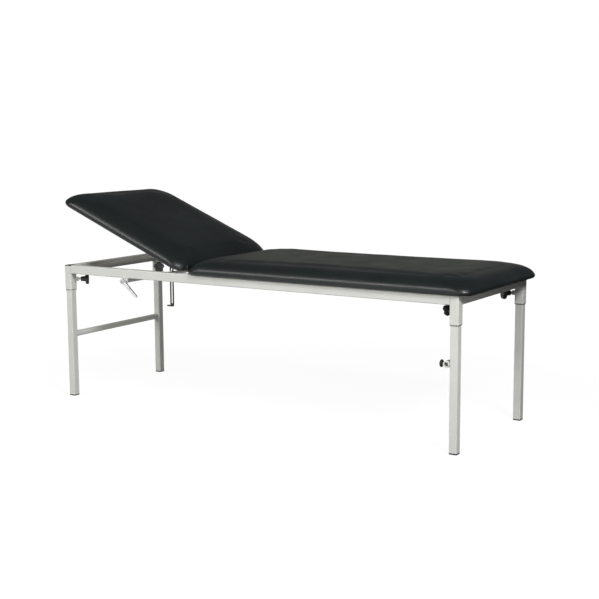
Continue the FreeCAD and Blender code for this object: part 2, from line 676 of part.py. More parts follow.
def hinge_leaf(side, across):
    """A flat leaf with its knuckles about the hinge axis: the seat has the outer two."""
    middle = f"({across} * {HINGE_MIDDLE})"
    third = "(size.hinge_width / 3)"
    play = "size.hinge_play"
    low = f"({middle} - size.hinge_width / 2)"
    plate_x = f"({side} * (size.cushion_gap / 2 - size.board_clearance - size.hinge_leaf / 2)" \
              " - size.hinge_leaf / 2)"
    plate = block(plate_x, low, "(0 - size.hinge_leaf_height)", "size.hinge_leaf",
                  "size.hinge_width", "size.hinge_leaf_height")
    spans = ((low, f"({third} - {play} / 2)"),
             (f"({low} + {third} * 2 + {play} / 2)", f"({third} - {play} / 2)"))
    if side < 0:
        spans = ((f"({low} + {third} + {play} / 2)", f"({third} - {play})"),)
    knuckles = [rod("size.hinge_knuckle / 2", length, "0", start, "0", ALONG_Y)
                for start, length in spans]
    leaf = join(plate, *knuckles)
    clear = f"(size.hinge_knuckle / 2 + {play})"
    gaps = []
    if side < 0:
        gaps = [(f"({low} - size.cut_overrun)", f"({third} + {play} / 2 + size.cut_overrun)"),
                (f"({low} + {third} * 2 - {play} / 2)",
                 f"({third} + {play} / 2 + size.cut_overrun)")]
    else:
        gaps = [(f"({low} + {third} - {play} / 2)", f"({third} + {play})")]
    tools = [rod(clear, length, "0", start, "0", ALONG_Y) for start, length in gaps]
    tools.append(rod("size.hinge_pin_diameter / 2 + size.pin_play",
                     "size.hinge_width + 2 * size.cut_overrun", "0",
                     f"({low} - size.cut_overrun)", "0", ALONG_Y))
    return cut(leaf, *tools)


def swing(piece):
    """Carry a piece from the hinge axis to the raised head section."""
    place(piece, HINGE_X, "0", HINGE_Z, Rotation(Vector(0, 1, 0), number("size.back_angle")))
    piece.setExpression("Placement.Rotation.Angle", "size.back_angle * 1 deg")
    return piece


# Seat section: board, end batten and cushion, fixed on the frame
seat_board = board("seat_board_body", SEAT_LENGTH)
place(seat_board, SEAT_MIDDLE, "0", "size.frame_height")
seat_holes = [rod(SCREW_HOLE, "size.seat_screw_bite + size.cut_overrun + size.screw_clearance",
                  beam_x, f"({side} * size.seat_screw_spread)",
                  "(size.frame_height - size.cut_overrun)")
              for _, beam_x in BEAM_XS for side in (-1, 1)]
keep(cut(seat_board, *seat_holes), "seat_board")
seat_cushion = cushion("seat_cushion_body", SEAT_LENGTH, -1)
place(seat_cushion, SEAT_MIDDLE, "0", "size.frame_height")
seat_bores = hinge_screw_parts(1, "size.board_clearance", "size.cut_overrun")
seat_bore = place(join(*seat_bores), HINGE_X, "0", HINGE_Z)
keep(cut(seat_cushion, seat_bore), "seat_cushion")
seat_batten = block(f"({SEAT_START} + size.batten_inset)", f"(0 - {BATTEN_HALF})",
                    "(size.frame_height + size.board_thickness)", "size.batten_depth",
                    f"2 * {BATTEN_HALF}", "size.batten_height")
batten_bore = place(join(*hinge_screw_parts(1, "size.screw_clearance", "size.cut_overrun")),
                    HINGE_X, "0", HINGE_Z)
keep(cut(seat_batten, batten_bore), "seat_batten")

# Head section: the same build on a shorter board, turned about the hinge axis
back_board = board("back_board_body", "size.back_length")
place(back_board, BACK_MIDDLE, "0", BACK_UNDER)
PIVOT_PLACE = f"(0 - {PIVOT_REACH})"
BASE_HALF_X = "(size.pivot_base_length / 2 - size.bracket_screw_edge)"
BASE_HALF_Y = "(size.pivot_base_width / 2 - size.bracket_screw_edge)"
BRACKET_SPOTS = [(f"({PIVOT_PLACE} + {sx} * {BASE_HALF_X})", f"({sy} * {BASE_HALF_Y})")
                 for sx in (-1, 1) for sy in (-1, 1)]
BASE_UNDER = f"({BACK_UNDER} - size.pivot_base_thickness)"


def bracket_shanks(grow, low, length):
    return [rod(f"size.bracket_screw_diameter / 2 + {grow}", length, x, y, low)
            for x, y in BRACKET_SPOTS]


board_bores = bracket_shanks("size.screw_clearance", f"({BACK_UNDER} - size.cut_overrun)",
                             "size.bracket_screw_bite + size.cut_overrun + size.screw_clearance")
keep(swing(cut(back_board, *board_bores)), "back_board")
back_cushion = cushion("back_cushion_body", "size.back_length", 1)
place(back_cushion, BACK_MIDDLE, "0", BACK_UNDER)
back_bores = hinge_screw_parts(-1, "size.board_clearance", "size.cut_overrun")
keep(swing(cut(back_cushion, join(*back_bores))), "back_cushion")
back_batten = block("(0 - size.cushion_gap / 2 - size.batten_inset - size.batten_depth)",
                    f"(0 - {BATTEN_HALF})", f"({BACK_UNDER} + size.board_thickness)",
                    "size.batten_depth", f"2 * {BATTEN_HALF}", "size.batten_height")
back_batten_bore = join(*hinge_screw_parts(-1, "size.screw_clearance", "size.cut_overrun"))
keep(swing(cut(back_batten, back_batten_bore)), "back_batten")

# Hinges between the two sections: leaves screwed to the end battens, and their pins
pins = []
for name, across in HINGE_SIDES:
    seat_bore = join(*hinge_screw_parts(1, "size.screw_clearance", "size.cut_overrun"))
    leaf = cut(hinge_leaf(1, across), seat_bore)
    keep(place(leaf, HINGE_X, "0", HINGE_Z), f"hinge_leaf_seat_{name}")
    back_bore = join(*hinge_screw_parts(-1, "size.screw_clearance", "size.cut_overrun"))
    leaf = cut(hinge_leaf(-1, across), back_bore)
    keep(swing(leaf), f"hinge_leaf_back_{name}")
    pin = rod("size.hinge_pin_diameter / 2", "size.hinge_width", HINGE_X,
              f"({across} * {HINGE_MIDDLE} - size.hinge_width / 2)", HINGE_Z, ALONG_Y)
    pins.append(pin)
keep(join(*pins), "hinge_pins")
seat_screws = join(*hinge_screw_parts(1, "0", "0"))
keep(place(seat_screws, HINGE_X, "0", HINGE_Z), "hinge_screws_seat")
keep(swing(join(*hinge_screw_parts(-1, "0", "0"))), "hinge_screws_back")

# Strut bracket under the head board: a base with two ears, and the strut's pin
ear_gap = "(size.strut_thickness / 2 + size.pivot_side_gap)"
PIVOT_LEVEL = "(0 - size.pivot_drop)"
bracket = [block(f"({PIVOT_PLACE} - size.pivot_base_length / 2)", "(0 - size.pivot_base_width / 2)",
                 BASE_UNDER, "size.pivot_base_length", "size.pivot_base_width",
                 "size.pivot_base_thickness")]
for across in (-1, 1):
    low = f"({across} * ({ear_gap} + size.pivot_ear / 2) - size.pivot_ear / 2)"
    bracket.append(block(f"({PIVOT_PLACE} - size.pivot_ear_radius)", low, PIVOT_LEVEL,
                         "2 * size.pivot_ear_radius", "size.pivot_ear",
                         f"({BASE_UNDER} - {PIVOT_LEVEL})"))
    bracket.append(rod("size.pivot_ear_radius", "size.pivot_ear", PIVOT_PLACE, low,
                       PIVOT_LEVEL, ALONG_Y))
pin_half = f"({ear_gap} + size.pivot_ear + size.pivot_pin_end)"
pin_bore = rod("size.pivot_pin_diameter / 2", f"2 * {pin_half}", PIVOT_PLACE,
               f"(0 - {pin_half})", PIVOT_LEVEL, ALONG_Y)
base_bores = bracket_shanks("size.screw_clearance", f"({BASE_UNDER} - size.cut_overrun)",
                            "size.pivot_base_thickness + 2 * size.cut_overrun")
keep(swing(cut(join(*bracket), pin_bore, *base_bores)), "strut_bracket")
pin = rod("size.pivot_pin_diameter / 2", f"2 * {pin_half}", PIVOT_PLACE, f"(0 - {pin_half})",
          PIVOT_LEVEL, ALONG_Y)
carried = doc.addObject("Part::Compound", "carried")
carried.Links = [pin]
keep(swing(carried), "strut_pin")
heads = [rod("size.bracket_screw_head / 2", "size.bracket_screw_height", x, y,
             f"({BASE_UNDER} - size.bracket_screw_height)") for x, y in BRACKET_SPOTS]
shanks = bracket_shanks("0", BASE_UNDER, "size.pivot_base_thickness + size.bracket_screw_bite")
keep(swing(join(*heads, *shanks)), "bracket_screws")

# Slotted strut: a flat bar that hangs from the bracket's pin and slides on the clamping rod.
# The clamp and the pin lie on one circle about the hinge axis, so the bar turns by half of
# what the head section turns.
HALF_STRUT = "(size.strut_width / 2)"
SLOT_RADIUS = "(size.clamp_rod_diameter / 2 + size.strut_slot_margin)"
TILT = f"(size.back_angle * 1 deg / 2 - atan2({PIVOT_REACH} - size.clamp_reach;" \
       " size.clamp_drop - size.pivot_drop))"

strut = new_body("strut_body")
side_view = new_sketch(strut, "XZ_Plane")
FOOT = "(0 - size.strut_length)"
HEEL_X = f"({HALF_STRUT} - size.strut_heel_radius)"
HEEL_Y = f"({FOOT} + size.strut_heel_radius)"
TOE_X = f"(0 - {HALF_STRUT} - size.strut_toe)"
TOE_TOP = f"({FOOT} + size.strut_toe_height)"
top = add_arc(side_view, HALF_STRUT, "0", "0", 0, HALF_TURN)
left = add_line(side_view, (f"(0 - {HALF_STRUT})", "0"), (f"(0 - {HALF_STRUT})", TOE_TOP))
step = add_line(side_view, (f"(0 - {HALF_STRUT})", TOE_TOP), (TOE_X, TOE_TOP))
toe = add_line(side_view, (TOE_X, TOE_TOP), (TOE_X, FOOT))
sole = add_line(side_view, (TOE_X, FOOT), (HEEL_X, FOOT))
heel = add_arc(side_view, "size.strut_heel_radius", HEEL_X, HEEL_Y,
               HALF_TURN + QUARTER_TURN, FULL_TURN, False)
right = add_line(side_view, (HALF_STRUT, HEEL_Y), (HALF_STRUT, "0"))
tangent(side_view, top, 2, left, 1)
meet(side_view, left, 2, step, 1)
meet(side_view, step, 2, toe, 1)
meet(side_view, toe, 2, sole, 1)
tangent(side_view, sole, 2, heel, 1)
tangent(side_view, heel, 2, right, 1)
tangent(side_view, right, 2, top, 1)
for upright in (left, toe, right):
    side_view.addConstraint(Sketcher.Constraint("Vertical", upright))
for level in (step, sole):
    side_view.addConstraint(Sketcher.Constraint("Horizontal", level))
hold(side_view, "DistanceX", toe, 1, TOE_X, -2)
hold(side_view, "DistanceY", step, 1, TOE_TOP, -1)
hold(side_view, "DistanceY", sole, 1, FOOT, -1)
bar = pad(strut, side_view, "size.strut_thickness")
bar.Midplane = True
openings = new_sketch(strut, "XZ_Plane")
circle(openings, "size.pivot_pin_diameter / 2 + size.pin_play")
slot_top = f"(0 - size.strut_slot_start - {SLOT_RADIUS})"
slot_foot = f"(0 - size.strut_slot_end + {SLOT_RADIUS})"
upper = add_arc(openings, SLOT_RADIUS, "0", slot_top, 0, HALF_TURN)
lower = add_arc(openings, SLOT_RADIUS, "0", slot_foot, HALF_TURN, FULL_TURN)
left = add_line(openings, (f"(0 - {SLOT_RADIUS})", slot_top), (f"(0 - {SLOT_RADIUS})", slot_foot))
right = add_line(openings, (SLOT_RADIUS, slot_foot), (SLOT_RADIUS, slot_top))
tangent(openings, upper, 2, left, 1)
tangent(openings, left, 2, lower, 1)
tangent(openings, lower, 2, right, 1)
tangent(openings, right, 2, upper, 1)
doc.recompute()
whole = strut.Shape.Volume
cutout = strut.newObject("PartDesign::Pocket", "cutout")
cutout.Profile = openings
cutout.Midplane = True
bind(cutout, Length="size.strut_thickness + 2 * size.cut_overrun")
strut.Tip = cutout
doc.recompute()
assert strut.Shape.Volume < whole, "the strut's slot cuts nothing"
RAISED_X = f"({HINGE_X} - {PIVOT_REACH} * cos(size.back_angle)" \
           " - size.pivot_drop * sin(size.back_angle))"
RAISED_Z = f"({HINGE_Z} + {PIVOT_REACH} * sin(size.back_angle)" \
           " - size.pivot_drop * cos(size.back_angle))"
place(strut, RAISED_X, "0", RAISED_Z, Rotation(Vector(0, 1, 0), number(TILT)))
strut.setExpression("Placement.Rotation.Angle", TILT)
keep(strut, "strut")

# Clamp: two tubes hang under the rails and squeeze the strut between washers
TUBE_RADIUS = "(size.cross_tube_diameter / 2)"
TUBE_BORE = "(size.cross_tube_diameter / 2 - size.cross_tube_wall)"
ROD_BORE = "(size.clamp_rod_diameter / 2 + size.pin_play)"
WASHER_FACE = "(size.strut_thickness / 2 + size.washer_play)"
TUBE_END = f"({WASHER_FACE} + size.washer_thickness)"
HANGER_OUTER = f"({RAIL_FACE} - size.hanger_setback)"
HANGER_INNER = f"({HANGER_OUTER} - size.hanger_thickness)"
TUBE_LENGTH = f"({HANGER_INNER} - {TUBE_END})"
HALF_HANGER = "(size.hanger_width / 2)"
HANGER_TOP = f"({RAIL_UNDER} - {CLAMP_Z})"
for node, across in HINGE_SIDES:
    hanger = new_body(f"hanger_body_{node}")
    profile = new_sketch(hanger, "XZ_Plane")
    end = add_arc(profile, HALF_HANGER, "0", "0", HALF_TURN, FULL_TURN)
    right = add_line(profile, (HALF_HANGER, "0"), (HALF_HANGER, HANGER_TOP))
    top = add_line(profile, (HALF_HANGER, HANGER_TOP), (f"(0 - {HALF_HANGER})", HANGER_TOP))
    left = add_line(profile, (f"(0 - {HALF_HANGER})", HANGER_TOP), (f"(0 - {HALF_HANGER})", "0"))
    tangent(profile, end, 2, right, 1)
    meet(profile, right, 2, top, 1)
    meet(profile, top, 2, left, 1)
    tangent(profile, left, 2, end, 1)
    for upright in (left, right):
        profile.addConstraint(Sketcher.Constraint("Vertical", upright))
    profile.addConstraint(Sketcher.Constraint("Horizontal", top))
    hold(profile, "DistanceY", top, 1, HANGER_TOP, -1)
    circle(profile, ROD_BORE)
    pad(hanger, profile, "size.hanger_thickness")
    face = HANGER_OUTER if across > 0 else f"(0 - {HANGER_INNER})"
    place(hanger, CLAMP_X, face, CLAMP_Z)
    keep(hanger, f"hanger_{node}")
    start = TUBE_END if across > 0 else f"(0 - {HANGER_INNER})"
    outer = rod(TUBE_RADIUS, TUBE_LENGTH, CLAMP_X, start, CLAMP_Z, ALONG_Y)
    inner = rod(TUBE_BORE, f"({TUBE_LENGTH} + 2 * size.cut_overrun)", CLAMP_X,
                f"({start} - size.cut_overrun)", CLAMP_Z, ALONG_Y)
    keep(cut(outer, inner), f"cross_tube_{node}")
nut = rod(TUBE_BORE, "size.clamp_nut_length", CLAMP_X, TUBE_END, CLAMP_Z, ALONG_Y)
thread = rod(ROD_BORE, "size.clamp_nut_length + 2 * size.cut_overrun", CLAMP_X,
             f"({TUBE_END} - size.cut_overrun)", CLAMP_Z, ALONG_Y)
keep(cut(nut, thread), "clamp_nut")


def washer(low):
    disc = rod("size.washer_diameter / 2", "size.washer_thickness", CLAMP_X, low, CLAMP_Z,
               ALONG_Y)
    hole = rod(SLOT_RADIUS, "size.washer_thickness + 2 * size.cut_overrun", CLAMP_X,
               f"({low} - size.cut_overrun)", CLAMP_Z, ALONG_Y)
    return cut(disc, hole)


LEVER_WASHER = f"(0 - {HANGER_OUTER} - size.washer_thickness)"
keep(join(washer(WASHER_FACE), washer(f"(0 - {TUBE_END})"), washer(LEVER_WASHER)),
     "clamp_washers")

# Clamping lever: a die-cast hub and tapered arm, pinned to the rod by a cap screw
HUB_FACE = f"({LEVER_WASHER} - size.washer_play)"
lever = new_body("lever_body")
arm_view = new_sketch(lever, "XZ_Plane", "size.lever_arm_lift")
ARM_END = "(size.lever_length - size.lever_tip_radius)"
slope = math.degrees(math.acos(number(f"(size.lever_root_radius - size.lever_tip_radius)"
                                      f" / {ARM_END}")))
root = add_arc(arm_view, "size.lever_root_radius", "0", "0", slope,
               FULL_TURN - slope)
tip = add_arc(arm_view, "size.lever_tip_radius", ARM_END, "0", -slope, slope)
COS_SLOPE = f"((size.lever_root_radius - size.lever_tip_radius) / {ARM_END})"
SIN_SLOPE = f"sqrt(1 - {COS_SLOPE} ^ 2)"
edges = []
for side in (-1, 1):
    ends = [(f"({centre} + {radius} * {COS_SLOPE})", f"({side} * {radius} * {SIN_SLOPE})")
            for centre, radius in (("0", "size.lever_root_radius"),
                                   (ARM_END, "size.lever_tip_radius"))]
    edges.append(add_line(arm_view, *ends))
tangent(arm_view, root, 2, edges[0], 1)
tangent(arm_view, edges[0], 2, tip, 1)
tangent(arm_view, tip, 2, edges[1], 2)
tangent(arm_view, edges[1], 1, root, 1)
pad(lever, arm_view, "size.lever_arm_thickness")
doc.recompute()
upright = long_edges(lever.Shape, Vector(0, 1, 0))
rims = [f"Edge{index}" for index in range(1, len(lever.Shape.Edges) + 1)
        if f"Edge{index}" not in upright]
fillet(lever, rims, "size.lever_fillet")
hub = new_sketch(lever, "XZ_Plane")
circle(hub, "size.lever_hub_diameter / 2")
pad(lever, hub, "size.lever_hub_height")
doc.recompute()
recess = new_sketch(lever, "XZ_Plane", "size.lever_hub_height")
circle(recess, "size.lever_screw_diameter / 2 + size.screw_clearance")
pocket(lever, recess, "size.lever_screw_height", False)
place(lever, CLAMP_X, HUB_FACE, CLAMP_Z, Rotation(Vector(0, 1, 0), number("size.lever_angle")))
lever.setExpression("Placement.Rotation.Angle", "size.lever_angle * 1 deg")
HUB_END = f"({HUB_FACE} - size.lever_hub_height)"
rod_end = f"({TUBE_END} + size.clamp_rod_bite)"
rod_hole = rod("size.clamp_rod_diameter / 2", "size.lever_hub_height + 2 * size.cut_overrun",
               CLAMP_X, f"({HUB_END} - size.cut_overrun)", CLAMP_Z, ALONG_Y)
keep(cut(lever, rod_hole), "clamp_lever")
rod_start = f"({HUB_END} + size.lever_screw_height)"
keep(rod("size.clamp_rod_diameter / 2", f"({rod_end} - {rod_start})", CLAMP_X, rod_start,
         CLAMP_Z, ALONG_Y), "clamp_rod")
screw_head = rod("size.lever_screw_diameter / 2", "size.lever_screw_height", CLAMP_X, HUB_END,
                 CLAMP_Z, ALONG_Y)
socket_hex = doc.addObject("Part::Prism", "socket_hex")
socket_hex.Polygon = 6
bind(socket_hex, Circumradius="size.lever_socket / 2",
     Height="size.lever_screw_height / 2 + size.cut_overrun")
place(socket_hex, CLAMP_X, f"({HUB_END} - size.cut_overrun)", CLAMP_Z, ALONG_Y)
keep(cut(screw_head, socket_hex), "lever_screw")

# Accessory holder: a short tube on the front foot leg, with its own small clamping knob
LEG_FACE_X = f"({FRAME_X} + {HALF_LONG} - size.leg_side / 2)"
HOLDER_X = f"({LEG_FACE_X} - size.holder_gap - size.holder_diameter / 2)"
HOLDER_Y = f"(0 - {HALF_WIDE} - size.holder_length / 2)"
sleeve = rod("size.holder_diameter / 2", "size.holder_length", HOLDER_X, HOLDER_Y,
             "size.holder_height", ALONG_Y)
lug = block(HOLDER_X, f"(0 - {HALF_WIDE} - size.holder_lug / 2)",
            "(size.holder_height - size.holder_lug / 2)",
            f"({LEG_FACE_X} - {HOLDER_X})", "size.holder_lug", "size.holder_lug")
bore = rod("size.holder_bore / 2", "size.holder_length + 2 * size.cut_overrun", HOLDER_X,
           f"({HOLDER_Y} - size.cut_overrun)", "size.holder_height", ALONG_Y)
TOWARD_HEAD = Rotation(Vector(0, 1, 0), -90)
tapped = rod("size.holder_stud / 2 + size.pin_play", "size.holder_diameter", HOLDER_X,
             f"(0 - {HALF_WIDE})", "size.holder_height", TOWARD_HEAD)
keep(cut(join(sleeve, lug), bore, tapped), "accessory_holder")
STUD_TIP = "(size.holder_bore / 2 + size.stud_tip_gap)"
keep(rod("size.holder_stud / 2", f"(size.holder_head_start - {STUD_TIP})",
         f"({HOLDER_X} - {STUD_TIP})", f"(0 - {HALF_WIDE})", "size.holder_height",
         TOWARD_HEAD), "holder_stud")
knob = new_body("holder_knob_body")
profile = new_sketch(knob, "XZ_Plane")
outline(profile, (
    ("0", "size.holder_head_start"),
    ("size.holder_stud / 2", "size.holder_head_start"),
    ("size.holder_stud / 2", "size.holder_neck_start"),
    ("size.holder_neck_radius", "size.holder_neck_start"),
    ("size.holder_neck_radius", "size.holder_head_start"),
    ("(size.holder_head_radius - size.holder_head_edge)", "size.holder_head_start"),
    ("size.holder_head_radius", "(size.holder_head_start + size.holder_head_edge)"),
    ("size.holder_head_radius", "(size.holder_head_end - size.holder_head_edge)"),
    ("(size.holder_head_radius - size.holder_head_edge)", "size.holder_head_end"),
    ("0", "size.holder_head_end"),
))
turned = knob.newObject("PartDesign::Revolution", "turned")
turned.Profile = profile
turned.ReferenceAxis = (profile, ["V_Axis"])
knob.Tip = turned
place(knob, HOLDER_X, f"(0 - {HALF_WIDE})", "size.holder_height", TOWARD_HEAD)
keep(knob, "holder_knob")

# Check every piece, then write them
doc.recompute()
for item in doc.Objects:
    if "Invalid" in item.State or "Error" in item.State:
        raise RuntimeError(f"{item.Label} ({item.Name}): {item.State}")
for piece in PARTS:
    if piece.Shape.isNull() or not piece.Shape.isValid() or not piece.Shape.Solids:
        raise RuntimeError(f"{piece.Label}: no valid solid")
for piece in PARTS:
    piece.Shape.exportStep(f"parts/{piece.Label}.step")
print(len(PARTS), "sub-parts")
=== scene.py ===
import json
import math

import bmesh
import bpy
from mathutils import Matrix, Vector, noise


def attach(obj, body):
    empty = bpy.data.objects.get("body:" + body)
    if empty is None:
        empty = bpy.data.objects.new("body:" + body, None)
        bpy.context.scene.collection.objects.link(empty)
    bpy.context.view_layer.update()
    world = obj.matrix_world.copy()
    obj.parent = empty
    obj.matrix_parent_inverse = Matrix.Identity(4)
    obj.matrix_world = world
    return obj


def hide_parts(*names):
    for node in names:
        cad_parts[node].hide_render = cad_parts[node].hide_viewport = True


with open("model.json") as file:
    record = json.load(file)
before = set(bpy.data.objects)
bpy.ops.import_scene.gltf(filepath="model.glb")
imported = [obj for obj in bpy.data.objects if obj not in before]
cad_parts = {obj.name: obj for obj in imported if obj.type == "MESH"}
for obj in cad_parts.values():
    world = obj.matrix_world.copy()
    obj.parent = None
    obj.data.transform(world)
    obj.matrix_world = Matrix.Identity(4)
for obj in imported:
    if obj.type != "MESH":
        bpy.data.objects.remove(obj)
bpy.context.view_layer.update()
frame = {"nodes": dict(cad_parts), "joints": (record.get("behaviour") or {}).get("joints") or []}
scene = bpy.context.scene
nodes = frame["nodes"]

# Camera: it stands at the couch's foot end, a little above the cushions.
# Its place, turn and lens come from the photograph's corners, legs and cushion edges.
CAMERA_PLACE = Vector((2.6009, -3.9761, 1.1396))
CAMERA_YAW = 0.5707
CAMERA_DOWN = 0.1452
CAMERA_ROLL = -0.006
CAMERA_LENS = 71.52
CAMERA_SENSOR = 36
camera_data = bpy.data.cameras.new("camera")
camera_data.lens = CAMERA_LENS
camera_data.sensor_width = CAMERA_SENSOR
camera = bpy.data.objects.new("camera", camera_data)
scene.collection.objects.link(camera)
scene.camera = camera
camera_turn = (Matrix.Rotation(CAMERA_YAW, 4, "Z")
               @ Matrix.Rotation(math.pi / 2 - CAMERA_DOWN, 4, "X")
               @ Matrix.Rotation(CAMERA_ROLL, 4, "Z"))
camera.matrix_world = Matrix.Translation(CAMERA_PLACE) @ camera_turn
scene.view_settings.view_transform = "Standard"

# Floor and sky: a matt studio floor that keeps a soft shadow, under a faint even sky.
# Both are white to the camera, and what they give to the couch is far less. Shiny faces
# see the white floor only in front of the couch, a painted reflection; behind, painted shade.
FLOOR_SIZE = 60
FLOOR_COLOUR = (0.09, 0.09, 0.088, 1)
FLOOR_LIFT = 0.945
# Painted reflection and shade: shiny faces see the floor's glow on this side, fading out over the
# shade edge.
FRONT_DIRECTION = (-0.6, -0.8, 0)
SHADE_EDGE = (-0.5, 0.5)
FADE_START = 1.15
FADE_END = 2.3
WHITE = (1, 1, 1, 1)
SKY_COLOUR = (0.93, 0.96, 1.0, 1)
SKY_LOW = 0.125
SKY_HIGH = 0.085
SKY_RISE = (0.15, 0.6)


def link(tree, start, end):
    tree.links.new(start, end)


def spread(tree, value, low, high, to_low=0.0, to_high=1.0, smooth=False):
    """A value that runs from low to high, mapped to another span."""
    result = tree.nodes.new("ShaderNodeMapRange")
    if smooth:
        result.interpolation_type = "SMOOTHSTEP"
    result.inputs["From Min"].default_value = low
    result.inputs["From Max"].default_value = high
    result.inputs["To Min"].default_value = to_low
    result.inputs["To Max"].default_value = to_high
    link(tree, value, result.inputs["Value"])
    return result.outputs["Result"]


def joined(tree, operation, first, second, clamp=False):
    """Two values added or multiplied."""
    result = tree.nodes.new("ShaderNodeMath")
    result.operation = operation
    result.use_clamp = clamp
    link(tree, first, result.inputs[0])
    link(tree, second, result.inputs[1])
    return result.outputs[0]


def is_seen(tree, painted_reflection):
    """One for rays from the camera or through glass, and for glossy rays a share, the painted
    reflection.
    """
    path = tree.nodes.new("ShaderNodeLightPath")
    share = joined(tree, "MULTIPLY", path.outputs["Is Glossy Ray"], painted_reflection)
    straight = joined(tree, "ADD", path.outputs["Is Camera Ray"],
                      path.outputs["Is Transmission Ray"])
    return joined(tree, "ADD", straight, share, clamp=True)


def studio_sky():
    """White to the camera; what lights the couch grows a little weaker from low to high."""
    world = bpy.data.worlds.new("studio")
    world.use_nodes = True
    tree = world.node_tree
    tree.nodes.clear()
    direction = tree.nodes.new("ShaderNodeTexCoord")
    height = tree.nodes.new("ShaderNodeSeparateXYZ")
    link(tree, direction.outputs["Generated"], height.inputs[0])
    ambient = tree.nodes.new("ShaderNodeBackground")
    ambient.inputs["Color"].default_value = SKY_COLOUR
    link(tree, spread(tree, height.outputs["Z"], *SKY_RISE, SKY_LOW, SKY_HIGH, smooth=True),
         ambient.inputs["Strength"])
    white = tree.nodes.new("ShaderNodeBackground")
    white.inputs["Color"].default_value = WHITE
    path = tree.nodes.new("ShaderNodeLightPath")
    choice = tree.nodes.new("ShaderNodeMixShader")
    link(tree, path.outputs["Is Camera Ray"], choice.inputs[0])
    link(tree, ambient.outputs[0], choice.inputs[1])
    link(tree, white.outputs[0], choice.inputs[2])
    output = tree.nodes.new("ShaderNodeOutputWorld")
    link(tree, choice.outputs[0], output.inputs["Surface"])
    return world


def floor_paint():
    """Matt paint that takes the shadow; a glow lifts it, fades outwards to white and paints
    reflections.
    """
    paint = bpy.data.materials.new("floor")
    paint.use_nodes = True
    tree = paint.node_tree
    tree.nodes.clear()
    matt = tree.nodes.new("ShaderNodeBsdfDiffuse")
    matt.inputs["Color"].default_value = FLOOR_COLOUR
    place = tree.nodes.new("ShaderNodeTexCoord")
    distance = tree.nodes.new("ShaderNodeVectorMath")
    distance.operation = "LENGTH"
    link(tree, place.outputs["Object"], distance.inputs[0])
    fade = spread(tree, distance.outputs["Value"], FADE_START, FADE_END, FLOOR_LIFT, 1,
                  smooth=True)
    front = tree.nodes.new("ShaderNodeVectorMath")
    front.operation = "DOT_PRODUCT"
    front.inputs[1].default_value = FRONT_DIRECTION
    link(tree, place.outputs["Object"], front.inputs[0])
    # Painted reflection: glossy rays see the glow only in front of the couch; painted shade
    # behind.
    painted_reflection = spread(tree, front.outputs["Value"], *SHADE_EDGE, smooth=True)
    glow = tree.nodes.new("ShaderNodeEmission")
    link(tree, joined(tree, "MULTIPLY", is_seen(tree, painted_reflection), fade), glow.inputs["Strength"])
    total = tree.nodes.new("ShaderNodeAddShader")
    link(tree, matt.outputs[0], total.inputs[0])
    link(tree, glow.outputs[0], total.inputs[1])
    output = tree.nodes.new("ShaderNodeOutputMaterial")
    link(tree, total.outputs[0], output.inputs["Surface"])
    return paint


scene.world = studio_sky()
bpy.ops.mesh.primitive_plane_add(size=FLOOR_SIZE)
floor = bpy.context.object
floor.name = "floor"
floor.data.materials.append(floor_paint())

# Lamps: two large soft ones in front, a low fill, a high one past the foot end, a weak warm
# one behind for the seat's top, and a narrow low beam that reaches the head end's legs.
# Each row holds a name, a place, a width and height, a power and a colour.
LAMPS = (
    ("front_lamp", (-3.0, -5.2, 3.8), (4.2, 1.8), 212, (1.0, 0.99, 0.965)),
    ("side_lamp", (1.0, -5.7, 3.1), (1.6, 1.2), 52, (1.0, 0.99, 0.975)),
    ("low_lamp", (-0.4, -5.6, 1.3), (4.0, 1.2), 16, (1.0, 0.99, 0.975)),
    ("foot_lamp", (3.6, -2.3, 3.6), (1.4, 1.0), 185, (0.98, 0.99, 1.0)),
    ("rear_lamp", (-3.0, 5.0, 1.5), (6.0, 2.0), 4.5, (1.0, 0.98, 0.78)),
)
LAMP_AIM = Vector((0, 0, 0.5))
BEAM_LAMP = ("beam_lamp", (3.9, -2.0, 0.22), (0.9, 0.3), 0.75, (1, 1, 1))
BEAM_AIM = Vector((-0.9, 0.0, 0.27))
BEAM_ANGLE = 0.36


def area_lamp(name, place, size, power, colour, aim=LAMP_AIM, angle=math.pi):
    """A rectangle that shines towards its aim within an angle and isn't seen itself."""
    lamp_data = bpy.data.lights.new(name, "AREA")
    lamp_data.shape = "RECTANGLE"
    lamp_data.size, lamp_data.size_y = size
    lamp_data.energy = power
    lamp_data.color = colour
    lamp_data.spread = angle
    lamp = bpy.data.objects.new(name, lamp_data)
    lamp.location = place
    lamp.rotation_mode = "QUATERNION"
    lamp.rotation_quaternion = (aim - Vector(place)).to_track_quat("-Z", "Y")
    lamp.visible_camera = False
    scene.collection.objects.link(lamp)


for lamp in LAMPS:
    area_lamp(*lamp)
area_lamp(*BEAM_LAMP, BEAM_AIM, BEAM_ANGLE)

# Painted steel: the rails, crossbars, sockets, legs, stretcher and hangers are tube and
# plate with a light warm grey powder coat, which has a fine orange peel and few scuffs.
# A thin line of painted shade darkens the coat round the mouth of each leg socket.
PAINT_LIGHT = (0.72, 0.725, 0.69, 1)
PAINT_SHADE = (0.67, 0.675, 0.64, 1)
PAINT_SCUFF = (0.42, 0.41, 0.38, 1)
PAINT_GRIME = (7, 34)
PAINT_SCUFF_SHARE = 0.35
PAINT_CLOUD_SCALE = 55
PAINT_ROUGHNESS = (0.36, 0.46)
PAINT_PEEL_SCALE = 620
PAINT_PEEL = (0.12, 0.0004)
# Painted shade at the socket mouths: its colour, its share, and the heights where it holds and
# fades out.
MOUTH_PAINTED_SHADE = (0.10, 0.098, 0.09, 1)
MOUTH_SHARE = 0.9
MOUTH_LINE = 0.0018
MOUTH_FADE = 0.0030
MOTTLE_SPAN = (0.35, 0.65)
SCUFF_SPAN = (0.66, 0.78)
SCUFF_STRETCH = (1.0, 1.0, 0.35)
NOISE_SPAN = (0.3, 0.7)


